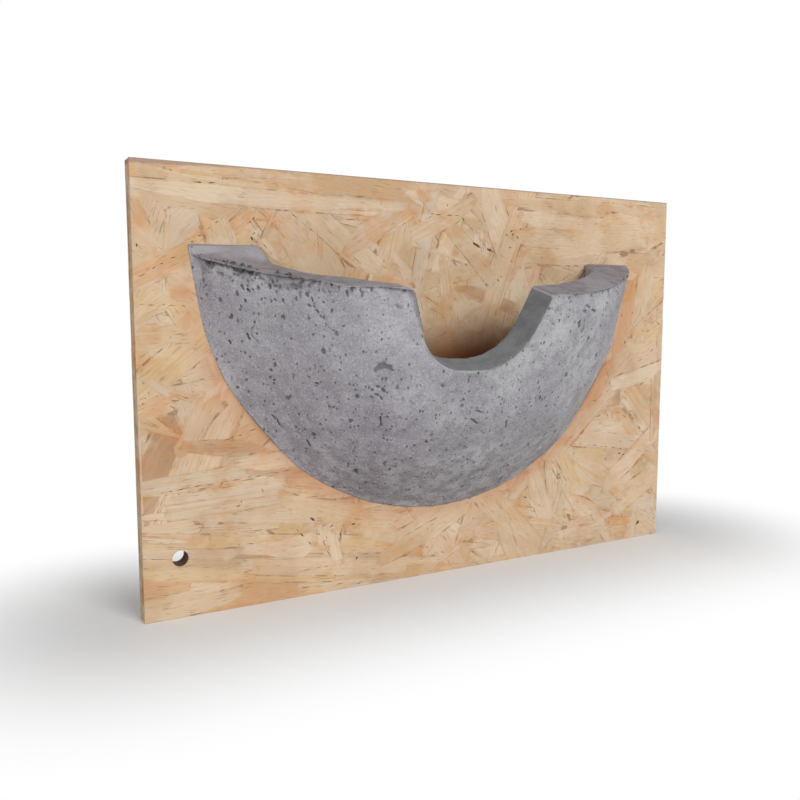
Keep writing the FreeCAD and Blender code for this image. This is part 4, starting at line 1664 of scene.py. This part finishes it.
# %% Pores of the concrete
# Cell, least and greatest radius and softness, in millimetres and then in shares of the cell.
FINE_PORES = (1.6, -0.08, 0.42, 0.10)
COARSE_PORES = (3.8, -0.24, 0.30, 0.08)


def concrete_pores(finish, spot):
    """Dark spots of two sizes, from 0 to 1."""
    shift = finish.noise(spot, 1.3, 2.0, 0.6, "Color")
    bent = finish.node("ShaderNodeVectorMath", {"operation": "ADD"}, {
        0: finish.scale(spot, (1.0, 1.0, 0.68)), 1: finish.scale(shift, (1.5,) * 3),
    })

    def pores(cell, low, high, soft):
        """Cells with a negative radius stay empty."""
        inputs = {"Vector": bent, "Scale": 1 / cell}
        cells = finish.node("ShaderNodeTexVoronoi", None, inputs, "Distance")
        kind = finish.node("ShaderNodeTexVoronoi", None, inputs, "Color")
        share = finish.node("ShaderNodeSeparateColor", None, {0: kind})
        radius = low + (high - low) * share * share
        return (radius - cells).step(0.0, soft)

    fine = pores(*FINE_PORES)
    coarse = pores(*COARSE_PORES)
    return (fine * 0.85 + coarse).step(0.0, 1.0)


print("pores of", FINE_PORES[0], "and", COARSE_PORES[0], "mm cells")

# %% [markdown]
# ## Finish: tints of the concrete
#
# The struck rim is smooth with a touch of lilac, and darker partly as painted shade on its
# up-facing top. The outside has the same tint at its lower left, where it and the left end are
# darker as painted shade. The underside is darker, as painted shade. The cut inside of the
# entrance is dark and bluish, as painted shade on a side that faces away from the light, and its
# two arrises are rubbed light.

# %% Tints of the concrete
# Where the left tint and painted shade end, the right end begins, and the lower left and the underside
# lie.
LEFT_END = -60.0
RIGHT_END = (60.0, 85.0)
LOWER_LEFT = (-32.0, 22.0)
UNDERSIDE = (-60.0, -8.0)


def concrete_tints(finish, x, z, rim, reveal, outside, cloud, mottle):
    """The colour of the cement in each region, in soft clouds and mottles, with painted shade on the
    rim, the left end, the lower left, the underside and the entrance's cut.
    """
    colour = finish.mix(cloud.step(0.32, 0.68), paint(148, 146, 151), paint(172, 172, 175))
    colour = finish.mix(mottle.step(0.42, 0.62) * 0.5, colour, paint(130, 127, 132))
    leftness = 1 - x.step(LEFT_END, 0.0)
    # The left end: a purplish tint, darker as painted shade.
    colour = finish.mix(leftness * 0.35, colour, paint(144, 139, 148))

    # The struck rim's tone, darker partly as painted shade on its up-facing top.
    struck = finish.mix(mottle.step(0.36, 0.62), paint(136, 130, 133), paint(116, 109, 112))
    struck = finish.mix(cloud.step(0.45, 0.62) * 0.5, struck, paint(150, 145, 148))
    colour = finish.mix(rim * 0.88, colour, struck)
    lip = rim * (1 - rim) * 4
    colour = finish.mix(lip * mottle.step(0.40, 0.55) * 0.5, colour, paint(164, 162, 165))

    # Lower left: a lilac tint, darker as painted shade.
    lilac = leftness * (1 - z.step(*LOWER_LEFT)) * outside
    lilac = lilac * (0.15 + 0.30 * mottle.step(0.38, 0.60))
    colour = finish.mix(lilac, colour, paint(122, 113, 121))
    # Painted shade on the underside.
    under = (1 - z.step(*UNDERSIDE)) * outside
    under = under * (0.10 + 0.40 * mottle.step(0.40, 0.60))
    colour = finish.mix(under, colour, paint(116, 113, 117))

    # Painted shade on the entrance's cut, which faces away from the light.
    reveal_shade = finish.mix(mottle.step(0.35, 0.65), paint(100, 102, 104), paint(118, 120, 122))
    colour = finish.mix(reveal * 0.9, colour, reveal_shade)
    arris = reveal * (1 - reveal) * 4
    return finish.mix(arris * 0.5, colour, paint(176, 176, 178))


print("tints change between", LEFT_END, "and", RIGHT_END[1], "mm across the bowl")

# %% [markdown]
# ## Finish: cast concrete
#
# Over the tints come the sand, its light and dark specks, the lines of the pulled mould at the
# right end, the dirt in the torn edge, and the painted shade in the pores and in the real pits.
# The same patterns give the relief.

# %% Concrete finish


def make_concrete_finish():
    """Tints, sand, pores and pits together."""
    finish = Finish("cast_concrete")
    spot = finish.places()
    x, _, z = spot.parts()
    hollow = finish.kept("hollow")
    torn = finish.kept("torn")
    rim = finish.kept("on_rim")
    reveal = finish.kept("on_reveal")
    outside = finish.kept("on_outside")

    cloud = finish.noise(spot, 34.0, 3.0, 0.55)
    mottle = finish.noise(spot, 6.0, 3.0, 0.65)
    sand = finish.noise(spot, 1.1, 3.0, 0.7)
    speck = finish.noise(spot, 0.8, 1.0, 0.5)
    pulled = finish.noise(finish.scale(spot, (1.0, 1.0, 0.14)), 1.3, 2.0, 0.6)
    smooth_part = (rim + reveal).step(0.0, 1.0)
    pore = concrete_pores(finish, spot) * (1 - 0.9 * smooth_part)

    colour = concrete_tints(finish, x, z, rim, reveal, outside, cloud, mottle)
    light_rough = 0.70 + 0.60 * sand
    colour = finish.shade(colour, light_rough + (1 - light_rough) * smooth_part * 0.6)
    right_end = x.step(*RIGHT_END) * outside
    colour = finish.shade(colour, 1 + (pulled - 0.5) * 0.30 * right_end)
    light_speck = speck.step(0.58, 0.70) * 0.42 * outside
    dark_speck = (1 - speck.step(0.28, 0.42)) * 0.40 * outside
    colour = finish.mix(light_speck, colour, paint(190, 190, 192))
    colour = finish.mix(dark_speck, colour, paint(112, 110, 113))
    dirt = torn.step(0.25, 0.9) * mottle.step(0.36, 0.6) * 0.6
    colour = finish.mix(dirt, colour, paint(104, 103, 100))
    # Painted shade in the pores.
    colour = finish.mix(pore * 0.76, colour, paint(70, 68, 70))
    # Painted shade in the real pits and chips.
    colour = finish.mix(hollow * 0.52, colour, paint(54, 53, 54))
    finish.set(Base_Color=colour, Roughness=0.9 - 0.1 * smooth_part, Specular_IOR_Level=0.3)
    height = sand * (0.25 + 0.35 * outside) + mottle * 0.6 - pore * 1.4
    finish.bump(height, 0.35 * MM, 0.75)
    return finish.material


bowl.data.materials.clear()
bowl.data.materials.append(make_concrete_finish())
print("concrete finish nodes:", len(bowl.data.materials[0].node_tree.nodes))

# %% [markdown]
# ## Finish: screws and plugs
#
# The screws are plain wood screws with a bright zinc plate, and the plugs are grey nylon. Both
# keep their measured shapes from the frame and only get a finish.

# %% Screw and plug finishes


def make_zinc_finish():
    """Bright zinc, slightly cloudy."""
    finish = Finish("zinc_plated_steel")
    spot = finish.places()
    cloud = finish.noise(spot, 1.5, 3.0, 0.6)
    colour = finish.mix(cloud, paint(176, 178, 178), paint(214, 210, 196))
    finish.set(Base_Color=colour, Metallic=1.0, Roughness=0.28 + 0.22 * cloud)
    finish.bump(cloud, 0.02 * MM)
    return finish.material


def make_nylon_finish():
    """Grey moulded nylon."""
    finish = Finish("nylon")
    spot = finish.places()
    grain = finish.noise(spot, 0.4, 2.0, 0.5)
    colour = finish.mix(grain, paint(168, 168, 165), paint(180, 180, 177))
    finish.set(Base_Color=colour, Roughness=0.45 + 0.1 * grain)
    finish.bump(grain, 0.02 * MM)
    return finish.material


for names, made in ((screw_names, make_zinc_finish()), (plug_names, make_nylon_finish())):
    for name in names:
        node = frame["nodes"][name]
        if not node.material_slots:
            node.data.materials.append(made)
        for slot in node.material_slots:
            slot.material = made
print("screws and plugs:", len(screw_names), len(plug_names))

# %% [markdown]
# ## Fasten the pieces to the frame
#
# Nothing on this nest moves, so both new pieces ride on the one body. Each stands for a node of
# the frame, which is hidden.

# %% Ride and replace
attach(board, "root")
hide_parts("backboard")
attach(bowl, "root")
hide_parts("nest_bowl")
print("new pieces:", board.name, bowl.name)

# %% [markdown]
# ## Floor and light
#
# The picture is a studio shot on white with soft light from nearly straight in front. A wide
# pale floor keeps the shadow near the object and turns plain white further out, for rays that
# come straight from the camera, by a mirror or through a glass. So white comes from colour and
# not from more light on the object.

# %% Floor
FLOOR_SIZE = 8.0
# The floor shows its own shading up to the first distance from the board and is white from
# the second one on.
FLOOR_OWN = 10 * MM
FLOOR_WHITE = 130 * MM
floor_z = cad_low.z
bpy.ops.object.select_all(action="DESELECT")
bpy.ops.mesh.primitive_plane_add(size=FLOOR_SIZE, location=(0, 0, floor_z))
floor = bpy.context.object
floor.name = "floor"


def seen_directly(finish):
    """1 for rays from the camera, and for those that come by a mirror or a glass."""
    path = finish.node("ShaderNodeLightPath")
    outputs = path.socket.node.outputs
    camera_ray, glossy, through = (
        Wire(finish, outputs[name])
        for name in ("Is Camera Ray", "Is Glossy Ray", "Is Transmission Ray")
    )
    return (camera_ray + glossy + through).step(0.0, 1.0)


def make_floor_finish():
    """Pale near the board and plain white away from it."""
    finish = Finish("pale_floor")
    spot = finish.places()
    x, y, _ = spot.parts()
    sideways = (x.size() - board_high.x / MM).at_least(0.0)
    away = (sideways * sideways + y * y).root()
    cloud = finish.noise(spot, 90.0, 2.0, 0.5)
    colour = finish.mix(cloud, paint(232, 232, 232), paint(238, 238, 238))
    finish.set(Base_Color=colour, Roughness=0.9, Specular_IOR_Level=0.1)
    white = finish.node("ShaderNodeEmission", None, {"Color": grey(1.0), "Strength": 1.0})
    far = away.step(FLOOR_OWN / MM, FLOOR_WHITE / MM) * seen_directly(finish)
    plain = Wire(finish, finish.shader.outputs[0])
    mixed = finish.node("ShaderNodeMixShader", None, {0: far, 1: plain, 2: white})
    finish.feed(finish.tree.nodes["Material Output"].inputs["Surface"], mixed)
    return finish.material


floor.data.materials.append(make_floor_finish())
print("floor at", round(floor_z, 4))

# %% [markdown]
# ## Backdrop and lamps
#
# The world is white where it is seen and gives about a third of that as light. Two wide square
# lamps do the rest: a key in front, a little to the right and above, and a fill at the left.

# %% World and lamps
WORLD_LIGHT = 0.36
world = bpy.data.worlds.new("studio")
world.use_nodes = True
bpy.context.scene.world = world


class Studio(Finish):
    """The world's nodes, made in the same way as a material's."""

    def __init__(self, world):
        self.tree = world.node_tree


studio = Studio(world)
sky = world.node_tree.nodes["Background"]
sky_light = WORLD_LIGHT + (1 - WORLD_LIGHT) * seen_directly(studio)
studio.feed(sky.inputs["Color"], grey(1.0))
studio.feed(sky.inputs["Strength"], sky_light)


def add_lamp(name, place, size, power):
    """A square soft lamp aimed at the middle of the board's back."""
    lamp = bpy.data.lights.new(name, "AREA")
    lamp.shape = "SQUARE"
    lamp.size = size
    lamp.energy = power
    thing = bpy.data.objects.new(name, lamp)
    bpy.context.scene.collection.objects.link(thing)
    thing.location = place
    thing.rotation_euler = (-Vector(place)).to_track_quat("-Z", "Y").to_euler()


add_lamp("key", (0.22, -1.45, 0.65), size=0.8, power=16)
add_lamp("fill", (-1.5, -0.8, 0.5), size=1.2, power=8)

# %% [markdown]
